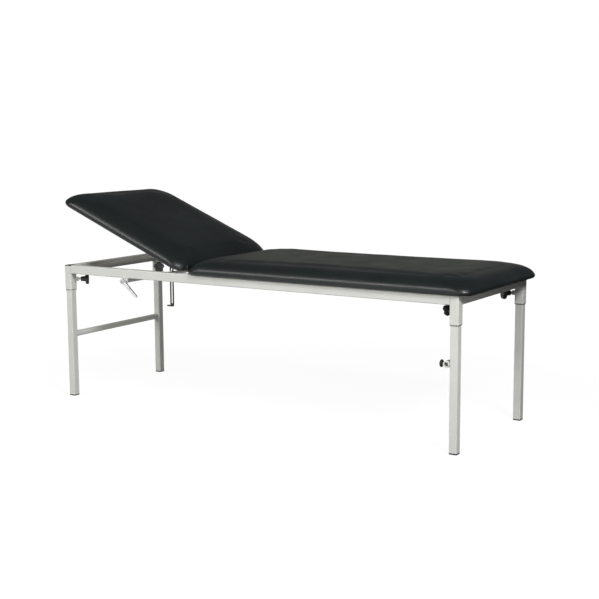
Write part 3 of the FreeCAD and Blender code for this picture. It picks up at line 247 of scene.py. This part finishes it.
def noise_node(tree, vector, scale, detail=3.0, stretch=None):
    """A noise on a vector, which may be stretched along an axis first."""
    if stretch:
        mapping = tree.nodes.new("ShaderNodeMapping")
        mapping.inputs["Scale"].default_value = stretch
        link(tree, vector, mapping.inputs["Vector"])
        vector = mapping.outputs["Vector"]
    result = tree.nodes.new("ShaderNodeTexNoise")
    result.inputs["Detail"].default_value = detail
    if isinstance(scale, (int, float)):
        result.inputs["Scale"].default_value = scale
    else:
        link(tree, scale, result.inputs["Scale"])
    link(tree, vector, result.inputs["Vector"])
    return result.outputs["Fac"]


def wandering(tree, vector, scale, low, high):
    """A value that wanders slowly between two limits, for a finish's roughness."""
    return spread(tree, noise_node(tree, vector, scale), *NOISE_SPAN, low, high)


def weakened(tree, mask, share):
    """A mask at a share of its strength."""
    return spread(tree, mask, 0, 1, 0, share)


def colour_mix(tree, factor, first, second):
    """Two colours mixed by a factor; each is a colour or a socket."""
    result = tree.nodes.new("ShaderNodeMix")
    result.data_type = "RGBA"
    link(tree, factor, result.inputs["Factor"])
    for socket, value in (("A", first), ("B", second)):
        slot = next(i for i in result.inputs if i.name == socket and i.type == "RGBA")
        if isinstance(value, tuple):
            slot.default_value = value
        else:
            link(tree, value, slot)
    return next(o for o in result.outputs if o.type == "RGBA")


def bump(tree, height, strength, depth, normal=None):
    """Relief from a height, at a strength and a depth in metres, over another relief or none."""
    result = tree.nodes.new("ShaderNodeBump")
    result.inputs["Strength"].default_value = strength
    result.inputs["Distance"].default_value = depth
    link(tree, height, result.inputs["Height"])
    if normal:
        link(tree, normal, result.inputs["Normal"])
    return result.outputs["Normal"]


def grime_group():
    """Slow mottling and small scuffs, which most finishes on the couch share."""
    group = bpy.data.node_groups.new("grime", "ShaderNodeTree")
    for name, kind, way in (("Vector", "Vector", "INPUT"), ("Mottle Scale", "Float", "INPUT"),
                            ("Scuff Scale", "Float", "INPUT"), ("Mottle", "Float", "OUTPUT"),
                            ("Scuff", "Float", "OUTPUT")):
        group.interface.new_socket(name=name, in_out=way, socket_type=f"NodeSocket{kind}")
    start = group.nodes.new("NodeGroupInput")
    end = group.nodes.new("NodeGroupOutput")
    mottle = noise_node(group, start.outputs["Vector"], start.outputs["Mottle Scale"], detail=4)
    link(group, spread(group, mottle, *MOTTLE_SPAN), end.inputs["Mottle"])
    scuff = noise_node(group, start.outputs["Vector"], start.outputs["Scuff Scale"], detail=5,
                       stretch=SCUFF_STRETCH)
    link(group, spread(group, scuff, *SCUFF_SPAN), end.inputs["Scuff"])
    return group


GRIME = grime_group()


def finish_material(name, grime_scales, metallic=0.0):
    """A material with its shader, its object coordinates and a grime group in place.

    The two grime scales are those of its mottling and of its scuffs, in turns per metre.
    """
    material = bpy.data.materials.new(name)
    material.use_nodes = True
    tree = material.node_tree
    shader = tree.nodes["Principled BSDF"]
    shader.inputs["Metallic"].default_value = metallic
    place = tree.nodes.new("ShaderNodeTexCoord")
    grime = tree.nodes.new("ShaderNodeGroup")
    grime.node_tree = GRIME
    link(tree, place.outputs["Object"], grime.inputs["Vector"])
    for socket, scale in zip(("Mottle Scale", "Scuff Scale"), grime_scales):
        grime.inputs[socket].default_value = scale
    return material, tree, shader, place.outputs["Object"], grime


def painted_steel(name, mouth=None):
    """Powder coat, with a line of painted shade over a socket's mouth where its height is given.
    """
    material, tree, shader, place, grime = finish_material(name, PAINT_GRIME)
    base = colour_mix(tree, grime.outputs["Mottle"], PAINT_LIGHT, PAINT_SHADE)
    scuffs = weakened(tree, grime.outputs["Scuff"], PAINT_SCUFF_SHARE)
    colour = colour_mix(tree, scuffs, base, PAINT_SCUFF)
    if mouth is not None:
        height = tree.nodes.new("ShaderNodeSeparateXYZ")
        link(tree, place, height.inputs[0])
        # Painted shade: the lowest few millimetres of the socket, at its mouth, are darkened.
        line = spread(tree, height.outputs["Z"], mouth + MOUTH_LINE, mouth + MOUTH_FADE,
                      MOUTH_SHARE, 0)
        colour = colour_mix(tree, line, colour, MOUTH_PAINTED_SHADE)
    link(tree, colour, shader.inputs["Base Color"])
    link(tree, wandering(tree, place, PAINT_CLOUD_SCALE, *PAINT_ROUGHNESS),
         shader.inputs["Roughness"])
    peel = noise_node(tree, place, PAINT_PEEL_SCALE, detail=1.5)
    link(tree, bump(tree, peel, *PAINT_PEEL), shader.inputs["Normal"])
    return material


def dress(node, material):
    """Give a carried-over node its finish."""
    mesh = nodes[node].data
    mesh.materials.clear()
    mesh.materials.append(material)


CORNERS = ("front_head", "rear_head", "front_foot", "rear_foot")
SOCKETS = tuple(f"socket_{corner}" for corner in CORNERS)
PAINTED = ("side_rail_front", "side_rail_rear", "crossbar_head", "crossbar_foot", "crossbar_hinge",
           "crossbar_seat", "knob_bosses", "hanger_front", "hanger_rear", "cross_tube_front",
           "cross_tube_rear", *(f"leg_{corner}" for corner in CORNERS), "head_stretcher",
           "accessory_holder")
PAINT = painted_steel("powder coat")
for node in PAINTED:
    dress(node, PAINT)
socket_mouth = min(v.co.z for v in nodes[SOCKETS[0]].data.vertices)
SOCKET_PAINT = painted_steel("powder coat at the sockets", socket_mouth)
for node in SOCKETS:
    dress(node, SOCKET_PAINT)

# Socket caps and foot caps: moulded black plastic with a fine spark texture and a little
# dust in it; the caps close the open tops of the sockets and the ends of the legs.
PLASTIC_BASE = (0.012, 0.0125, 0.013, 1)
PLASTIC_DUST = (0.035, 0.035, 0.034, 1)
PLASTIC_GRIME = (38, 120)
DUST_START = 0.3
DUST_SHARE = 0.5
PLASTIC_CLOUD_SCALE = 90
PLASTIC_ROUGHNESS = (0.38, 0.52)
PLASTIC_SPARK_SCALE = 1500
PLASTIC_SPARK = (0.18, 0.0003)


def moulded_plastic():
    material, tree, shader, place, grime = finish_material("moulded black plastic",
                                                           PLASTIC_GRIME)
    dust = spread(tree, grime.outputs["Mottle"], DUST_START, 1, 0, DUST_SHARE)
    base = colour_mix(tree, dust, PLASTIC_BASE, PLASTIC_DUST)
    link(tree, colour_mix(tree, grime.outputs["Scuff"], base, PLASTIC_DUST),
         shader.inputs["Base Color"])
    link(tree, wandering(tree, place, PLASTIC_CLOUD_SCALE, *PLASTIC_ROUGHNESS),
         shader.inputs["Roughness"])
    spark = noise_node(tree, place, PLASTIC_SPARK_SCALE, detail=2)
    link(tree, bump(tree, spark, *PLASTIC_SPARK), shader.inputs["Normal"])
    return material


PLASTIC = moulded_plastic()
for node in ("socket_caps", *(f"foot_cap_{corner}" for corner in CORNERS)):
    dress(node, PLASTIC)

# Leg knobs: heads of the same plastic with finger hollows and rounded edges, moulded on
# plated studs that press on the corner of the leg. A smaller one holds the accessory.
KNOB_ROUNDING = 0.0012
KNOB_SEGMENTS = 3
WELD = 1e-6
FLAT_ANGLE = math.radians(1)
EDGE_ANGLE = math.radians(30)
SMOOTH_ANGLE = math.radians(35)


def node_copy(node, name, lay_flat=Matrix()):
    """A node's mesh as a piece of its own, merged, in edit mode and selected all over."""
    bpy.ops.object.select_all(action="DESELECT")
    piece = nodes[node].copy()
    piece.data = nodes[node].data.copy()
    piece.name = name
    piece.parent = None
    scene.collection.objects.link(piece)
    piece.hide_render = False
    piece.hide_viewport = False
    piece.hide_set(False)
    piece.data.transform(lay_flat)
    piece.select_set(True)
    bpy.context.view_layer.objects.active = piece
    bpy.ops.object.mode_set(mode="EDIT")
    bpy.ops.mesh.select_all(action="SELECT")
    bpy.ops.mesh.remove_doubles(threshold=WELD)
    bpy.ops.mesh.select_all(action="SELECT")
    return piece


def refined(node, name, material, rounding, segments=2):
    """A copy of a node's mesh with its edges rounded, which stands for the node."""
    piece = node_copy(node, name)
    bpy.ops.mesh.dissolve_limited(angle_limit=FLAT_ANGLE)
    bpy.ops.object.mode_set(mode="OBJECT")
    bevel = piece.modifiers.new("rounding", "BEVEL")
    bevel.width = rounding
    bevel.segments = segments
    bevel.angle_limit = EDGE_ANGLE
    bpy.ops.object.modifier_apply(modifier=bevel.name)
    bpy.ops.object.shade_smooth_by_angle(angle=SMOOTH_ANGLE)
    piece.data.materials.clear()
    piece.data.materials.append(material)
    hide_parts(node)
    return piece


for corner in CORNERS:
    head = refined(f"knob_{corner}", f"knob_head_{corner}", PLASTIC, KNOB_ROUNDING,
                   KNOB_SEGMENTS)
    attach(head, f"knob_{corner}")
holder_head = refined("holder_knob", "holder_knob_head", PLASTIC, KNOB_ROUNDING, KNOB_SEGMENTS)
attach(holder_head, "holder_knob")

# Plated steel: the studs, screws, rod, nut, washers and the strut's pin are turned and
# zinc plated, with fine lines from the tool and a cloudy passivation.
ZINC_LIGHT = (0.62, 0.62, 0.60, 1)
ZINC_CLOUD = (0.44, 0.45, 0.44, 1)
ZINC_SOIL = (0.12, 0.11, 0.10, 1)
ZINC_ROUGHNESS = (0.26, 0.42)
ZINC_LINE_SCALE = 900
METAL_GRIME = (60, 90)
METAL_CLOUD_SCALE = 130
METAL_LINES = (0.15, 0.0002)
LINE_STRETCH = (1.0, 0.06, 1.0)


def metal(name, light, cloud, soil, roughness, line_scale):
    material, tree, shader, place, grime = finish_material(name, METAL_GRIME, metallic=1.0)
    base = colour_mix(tree, grime.outputs["Mottle"], light, cloud)
    link(tree, colour_mix(tree, grime.outputs["Scuff"], base, soil), shader.inputs["Base Color"])
    link(tree, wandering(tree, place, METAL_CLOUD_SCALE, *roughness), shader.inputs["Roughness"])
    lines = noise_node(tree, place, line_scale, detail=2, stretch=LINE_STRETCH)
    link(tree, bump(tree, lines, *METAL_LINES), shader.inputs["Normal"])
    return material


ZINC = metal("zinc plate", ZINC_LIGHT, ZINC_CLOUD, ZINC_SOIL, ZINC_ROUGHNESS, ZINC_LINE_SCALE)
PLATED = ("holder_stud", "clamp_rod", "clamp_nut", "clamp_washers", "strut_pin", "seat_screws",
          "bracket_screws", "lever_screw", *(f"knob_stud_{corner}" for corner in CORNERS))
for node in PLATED:
    dress(node, ZINC)

# Hinges: two leaves of rolled steel at each side, dull and dark, with their knuckles curled
# round a pin and each leaf screwed to the end of its board.
HINGE_LIGHT = (0.075, 0.075, 0.072, 1)
HINGE_CLOUD = (0.045, 0.045, 0.043, 1)
HINGE_ROUGHNESS = (0.34, 0.5)
HINGE_LINE_SCALE = 700
PLATE_ROUNDING = 0.0004
HINGE_STEEL = metal("rolled hinge steel", HINGE_LIGHT, HINGE_CLOUD, ZINC_SOIL, HINGE_ROUGHNESS,
                    HINGE_LINE_SCALE)
for node in ("hinge_pins", "hinge_screws_seat", "hinge_screws_back"):
    dress(node, HINGE_STEEL)
for side, body in (("seat", "frame"), ("back", "backrest")):
    for across in ("front", "rear"):
        leaf = refined(f"hinge_leaf_{side}_{across}", f"hinge_{side}_{across}", HINGE_STEEL,
                       PLATE_ROUNDING)
        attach(leaf, body)

# Strut and bracket: a slotted bar of rolled steel with a dark finish, worn bright where the
# washers slide. It hangs from a plated bracket that is screwed under the head board.
STRUT_DARK = (0.050, 0.050, 0.047, 1)
STRUT_CLOUD = (0.085, 0.084, 0.080, 1)
STRUT_WORN = (0.20, 0.197, 0.19, 1)
STRUT_ROUGHNESS = (0.34, 0.5)
STRUT_LINE_SCALE = 500
bracket = refined("strut_bracket", "strut_bracket_plate", ZINC, PLATE_ROUNDING)
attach(bracket, "backrest")
DARK_STEEL = metal("dark rolled steel", STRUT_DARK, STRUT_CLOUD, STRUT_WORN, STRUT_ROUGHNESS,
                   STRUT_LINE_SCALE)
bar = refined("strut", "slotted_strut", DARK_STEEL, PLATE_ROUNDING)
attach(bar, "strut")

# Clamping lever: a silver casting with a sand-fine skin, screwed on the end of the rod that
# clamps the strut between the cross tubes.
CAST_LIGHT = (0.78, 0.79, 0.80, 1)
CAST_CLOUD = (0.66, 0.67, 0.68, 1)
CAST_SOIL = (0.35, 0.35, 0.34, 1)
CAST_ROUGHNESS = (0.38, 0.5)
CAST_GRAIN_SCALE = 420
CAST_ROUNDING = 0.0007
SILVER = metal("silver casting", CAST_LIGHT, CAST_CLOUD, CAST_SOIL, CAST_ROUGHNESS,
               CAST_GRAIN_SCALE)
lever = refined("clamp_lever", "clamp_lever_casting", SILVER, CAST_ROUNDING)
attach(lever, "clamp_lever")

# Boards and battens: plywood with its face grain along the couch, wrapped at the edges by
# the cover, and planed battens at the hinge that are stained dark.
WOOD_LIGHT = (0.50, 0.35, 0.20, 1)
WOOD_DARK = (0.33, 0.21, 0.11, 1)
WOOD_PORE = (0.22, 0.13, 0.07, 1)
STAIN_LIGHT = (0.032, 0.028, 0.024, 1)
STAIN_DARK = (0.018, 0.016, 0.014, 1)
WRAP_COLOUR = (0.011, 0.0135, 0.013, 1)
WRAP_EDGE = (-0.75, -0.65)
WOOD_GRIME = (9, 40)
WOOD_MOTTLE_SHARE = 0.3
WOOD_ROUGHNESS = (0.5, 0.68)
GRAIN_SCALE = 60
GRAIN_STRETCH = (0.05, 1.0, 1.0)
GRAIN_SPAN = (0.35, 0.65)
PORE_SCALE = 420
PORE_STRETCH = (0.04, 1.0, 1.0)
PORE_SPAN = (0.62, 0.72)
PORE_SHARE = 0.5
PORE_RELIEF = (0.25, 0.0004)


def wood(name, light, dark, wrapped):
    """Streaked wood; where it is wrapped, only the face below shows and the rest is cover."""
    material, tree, shader, place, grime = finish_material(name, WOOD_GRIME)
    grain = noise_node(tree, place, GRAIN_SCALE, detail=6, stretch=GRAIN_STRETCH)
    pores = noise_node(tree, place, PORE_SCALE, stretch=PORE_STRETCH)
    base = colour_mix(tree, spread(tree, grain, *GRAIN_SPAN), light, dark)
    streaked = colour_mix(tree, spread(tree, pores, *PORE_SPAN, 0, PORE_SHARE), base, WOOD_PORE)
    mottled = colour_mix(tree, weakened(tree, grime.outputs["Mottle"], WOOD_MOTTLE_SHARE),
                         streaked, dark)
    facing = tree.nodes.new("ShaderNodeTexCoord")
    normal = tree.nodes.new("ShaderNodeSeparateXYZ")
    link(tree, facing.outputs["Normal"], normal.inputs[0])
    cover = spread(tree, normal.outputs["Z"], *WRAP_EDGE, 0, wrapped)
    link(tree, colour_mix(tree, cover, mottled, WRAP_COLOUR), shader.inputs["Base Color"])
    link(tree, spread(tree, grain, *NOISE_SPAN, *WOOD_ROUGHNESS), shader.inputs["Roughness"])
    link(tree, bump(tree, pores, *PORE_RELIEF), shader.inputs["Normal"])
    return material


PLYWOOD = wood("plywood", WOOD_LIGHT, WOOD_DARK, wrapped=1.0)
for node in ("seat_board", "back_board"):
    dress(node, PLYWOOD)
STAINED = wood("stained batten", STAIN_LIGHT, STAIN_DARK, wrapped=0.0)
for node in ("seat_batten", "back_batten"):
    dress(node, STAINED)

# Cushions: firm foam on each board, under a black-green embossed vinyl that is drawn over
# the rolled edges and closed under the board. The head section's cushion is stuffed while
# it lies level, which is the lower limit of its tilt.
VINYL_BASE = (0.0085, 0.0117, 0.0115, 1)
VINYL_WORN = (0.0130, 0.0170, 0.0165, 1)
VINYL_SHINE = 0.38
VINYL_GRIME = (5, 26)
VINYL_SCUFF_SHARE = 0.2
VINYL_CLOUD_SCALE = 14
VINYL_ROUGHNESS = (0.31, 0.39)
VINYL_GRAIN_SCALE = 720
VINYL_GRAIN = (0.32, 0.0005)
VINYL_CREASE_SCALE = 180
VINYL_CREASE = (0.10, 0.0012)
TILT = next(joint for joint in frame["joints"] if joint["name"] == "backrest_tilt")
HINGE_AXIS = Vector(TILT["pos_m"])
LEVEL_TURN = math.radians(TILT["range_deg"][0])
LAY_FLAT = (Matrix.Translation(HINGE_AXIS) @ Matrix.Rotation(LEVEL_TURN, 4, "Y")
            @ Matrix.Translation(-HINGE_AXIS))
COVER_THICKNESS = 0.0018
COVER_STIFFNESS = 40
COVER_BENDING = 2
VOXEL = 0.0065
SMOOTH_ROUNDS = 7
STAPLE_HEIGHT = 0.010
BOARD_EDGE = 0.012
BOARD_RECESS = 0.003
FOAM_PRESSURE = 4.5
STUFFING_FRAMES = 20
FOAM_SWELL = 0.0024
FOAM_SINK = 0.0008
EASE_ROUNDS = 5
WAVE_PITCH = Vector((8, 8, 12))
WAVE_DEPTH = 0.0009


def vinyl():
    material, tree, shader, place, grime = finish_material("embossed vinyl", VINYL_GRIME)
    shader.inputs["Specular IOR Level"].default_value = VINYL_SHINE
    base = colour_mix(tree, grime.outputs["Mottle"], VINYL_BASE, VINYL_WORN)
    scuffs = weakened(tree, grime.outputs["Scuff"], VINYL_SCUFF_SHARE)
    link(tree, colour_mix(tree, scuffs, base, VINYL_WORN), shader.inputs["Base Color"])
    link(tree, wandering(tree, place, VINYL_CLOUD_SCALE, *VINYL_ROUGHNESS),
         shader.inputs["Roughness"])
    cells = tree.nodes.new("ShaderNodeTexVoronoi")
    cells.feature = "SMOOTH_F1"
    cells.inputs["Scale"].default_value = VINYL_GRAIN_SCALE
    link(tree, place, cells.inputs["Vector"])
    grain = bump(tree, cells.outputs["Distance"], *VINYL_GRAIN)
    creases = bump(tree, noise_node(tree, place, VINYL_CREASE_SCALE), *VINYL_CREASE, grain)
    link(tree, creases, shader.inputs["Normal"])
    return material


VINYL = vinyl()


def underside(board, lay_flat):
    """The height of a board's lower face when it lies flat, to a tenth of a millimetre."""
    return round(min((lay_flat @ v.co).z for v in nodes[board].data.vertices), 4)


def foam_block(node, name, lay_flat):
    """A closed copy of a cushion, laid flat, in even faces that a cover can bend in."""
    piece = node_copy(node, name, lay_flat)
    bpy.ops.mesh.convex_hull()
    bpy.ops.mesh.select_all(action="SELECT")
    bpy.ops.transform.shrink_fatten(value=COVER_THICKNESS)
    bpy.ops.object.mode_set(mode="OBJECT")
    remesh = piece.modifiers.new("even faces", "REMESH")
    remesh.mode = "VOXEL"
    remesh.voxel_size = VOXEL
    bpy.ops.object.modifier_apply(modifier=remesh.name)
    soften = piece.modifiers.new("soften", "SMOOTH")
    soften.iterations = SMOOTH_ROUNDS
    bpy.ops.object.modifier_apply(modifier=soften.name)
    return piece


def stuff(piece, under):
    """Let the cover swell under the foam's pressure, held where it is stapled to the board.

    Only the lift along each point's normal is kept, within limits and eased over its
    neighbours, so that the cushion keeps the form of its solid.
    """
    before = [v.co.copy() for v in piece.data.vertices]
    outward = [v.normal.copy() for v in piece.data.vertices]
    stapled = [v.index for v in piece.data.vertices if v.co.z < under + STAPLE_HEIGHT]
    held = piece.vertex_groups.new(name="held")
    held.add(stapled, 1, "ADD")
    cloth = piece.modifiers.new("cover", "CLOTH")
    cloth.settings.use_pressure = True
    cloth.settings.uniform_pressure_force = FOAM_PRESSURE
    cloth.settings.effector_weights.gravity = 0
    cloth.settings.vertex_group_mass = "held"
    cloth.settings.tension_stiffness = COVER_STIFFNESS
    cloth.settings.compression_stiffness = COVER_STIFFNESS
    cloth.settings.bending_stiffness = COVER_BENDING
    cloth.point_cache.frame_end = STUFFING_FRAMES
    for frame_number in range(1, STUFFING_FRAMES + 1):
        scene.frame_set(frame_number)
    bpy.context.view_layer.objects.active = piece
    bpy.ops.object.modifier_apply(modifier=cloth.name)
    scene.frame_set(1)
    lifts = [(vertex.co - start).dot(normal)
             for vertex, start, normal in zip(piece.data.vertices, before, outward)]
    lifts = [max(-FOAM_SINK, min(FOAM_SWELL, lift)) for lift in lifts]
    for _ in range(EASE_ROUNDS):
        sums = list(lifts)
        counts = [1] * len(lifts)
        for edge in piece.data.edges:
            first, second = edge.vertices
            sums[first] += lifts[second]
            sums[second] += lifts[first]
            counts[first] += 1
            counts[second] += 1
        lifts = [total / count for total, count in zip(sums, counts)]
    for vertex, start, normal, lift in zip(piece.data.vertices, before, outward, lifts):
        vertex.co = start + normal * lift


def settle(piece, under):
    """Give the cover its slight unevenness, and draw it in where the board closes it below."""
    low = Vector(tuple(min(v.co[i] for v in piece.data.vertices) for i in range(3)))
    high = Vector(tuple(max(v.co[i] for v in piece.data.vertices) for i in range(3)))
    outward = [v.normal.copy() for v in piece.data.vertices]
    for vertex, normal in zip(piece.data.vertices, outward):
        rise = min(1, max(0, (vertex.co.z - under) / (high.z - under)))
        wave = noise.noise(vertex.co * WAVE_PITCH)
        vertex.co += normal * (wave * WAVE_DEPTH * rise)
        inside = min(vertex.co.x - low.x, high.x - vertex.co.x,
                     vertex.co.y - low.y, high.y - vertex.co.y)
        if vertex.co.z < under + STAPLE_HEIGHT / 2 and inside > BOARD_EDGE:
            vertex.co.z = under + BOARD_RECESS


def upholster(node, name, body, under, lay_flat):
    """One padded cover, worked on while it lies flat and then turned back to its place."""
    piece = foam_block(node, name, lay_flat)
    stuff(piece, under)
    settle(piece, under)
    finer = piece.modifiers.new("finer", "SUBSURF")
    finer.levels = finer.render_levels = 1
    bpy.ops.object.modifier_apply(modifier=finer.name)
    piece.data.transform(lay_flat.inverted())
    bpy.ops.object.shade_smooth()
    piece.data.materials.clear()
    piece.data.materials.append(VINYL)
    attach(piece, body)
    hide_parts(node)


SEAT_UNDER = underside("seat_board", Matrix())
BACK_UNDER = underside("back_board", LAY_FLAT)
upholster("seat_cushion", "seat_padding", "frame", SEAT_UNDER, Matrix())
upholster("back_cushion", "back_padding", "backrest", BACK_UNDER, LAY_FLAT)

# Hem strips: the edge of each cover, folded under the board and stapled there flat. They
# start a few millimetres inside the cushion's outline, so the rolled edge hides them.
HEM_WIDTH = 0.034
HEM_THICKNESS = 0.0005
HEM_INSET = 0.0045
HEM_LEVEL = 1e-4


def hem_strip(node, name, body, under, lay_flat):
    """A ring cut from the underside of a cushion's outline and given its thickness."""
    strip = node_copy(node, name, lay_flat)
    bpy.ops.mesh.convex_hull()
    bpy.ops.mesh.select_mode(type="FACE")
    shape = bmesh.from_edit_mesh(strip.data)
    for face in shape.faces:
        face.select = face.calc_center_median().z > under + HEM_LEVEL
    bmesh.update_edit_mesh(strip.data)
    bpy.ops.mesh.delete(type="FACE")
    bpy.ops.mesh.select_all(action="SELECT")
    bpy.ops.mesh.dissolve_limited(angle_limit=FLAT_ANGLE)
    bpy.ops.mesh.select_all(action="SELECT")
    bpy.ops.mesh.inset(thickness=HEM_INSET)
    bpy.ops.mesh.select_all(action="INVERT")
    bpy.ops.mesh.delete(type="FACE")
    bpy.ops.mesh.select_all(action="SELECT")
    bpy.ops.mesh.inset(thickness=HEM_WIDTH)
    bpy.ops.mesh.delete(type="FACE")
    bpy.ops.mesh.select_all(action="SELECT")
    bpy.ops.mesh.normals_make_consistent(inside=False)
    bpy.ops.object.mode_set(mode="OBJECT")
    for vertex in strip.data.vertices:
        vertex.co.z = under - HEM_THICKNESS / 2
    thicken = strip.modifiers.new("thickness", "SOLIDIFY")
    thicken.thickness = HEM_THICKNESS
    thicken.offset = 0
    bpy.ops.object.modifier_apply(modifier=thicken.name)
    strip.data.transform(lay_flat.inverted())
    strip.data.materials.clear()
    strip.data.materials.append(VINYL)
    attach(strip, body)


hem_strip("seat_cushion", "seat_hem", "frame", SEAT_UNDER, Matrix())
hem_strip("back_cushion", "back_hem", "backrest", BACK_UNDER, LAY_FLAT)
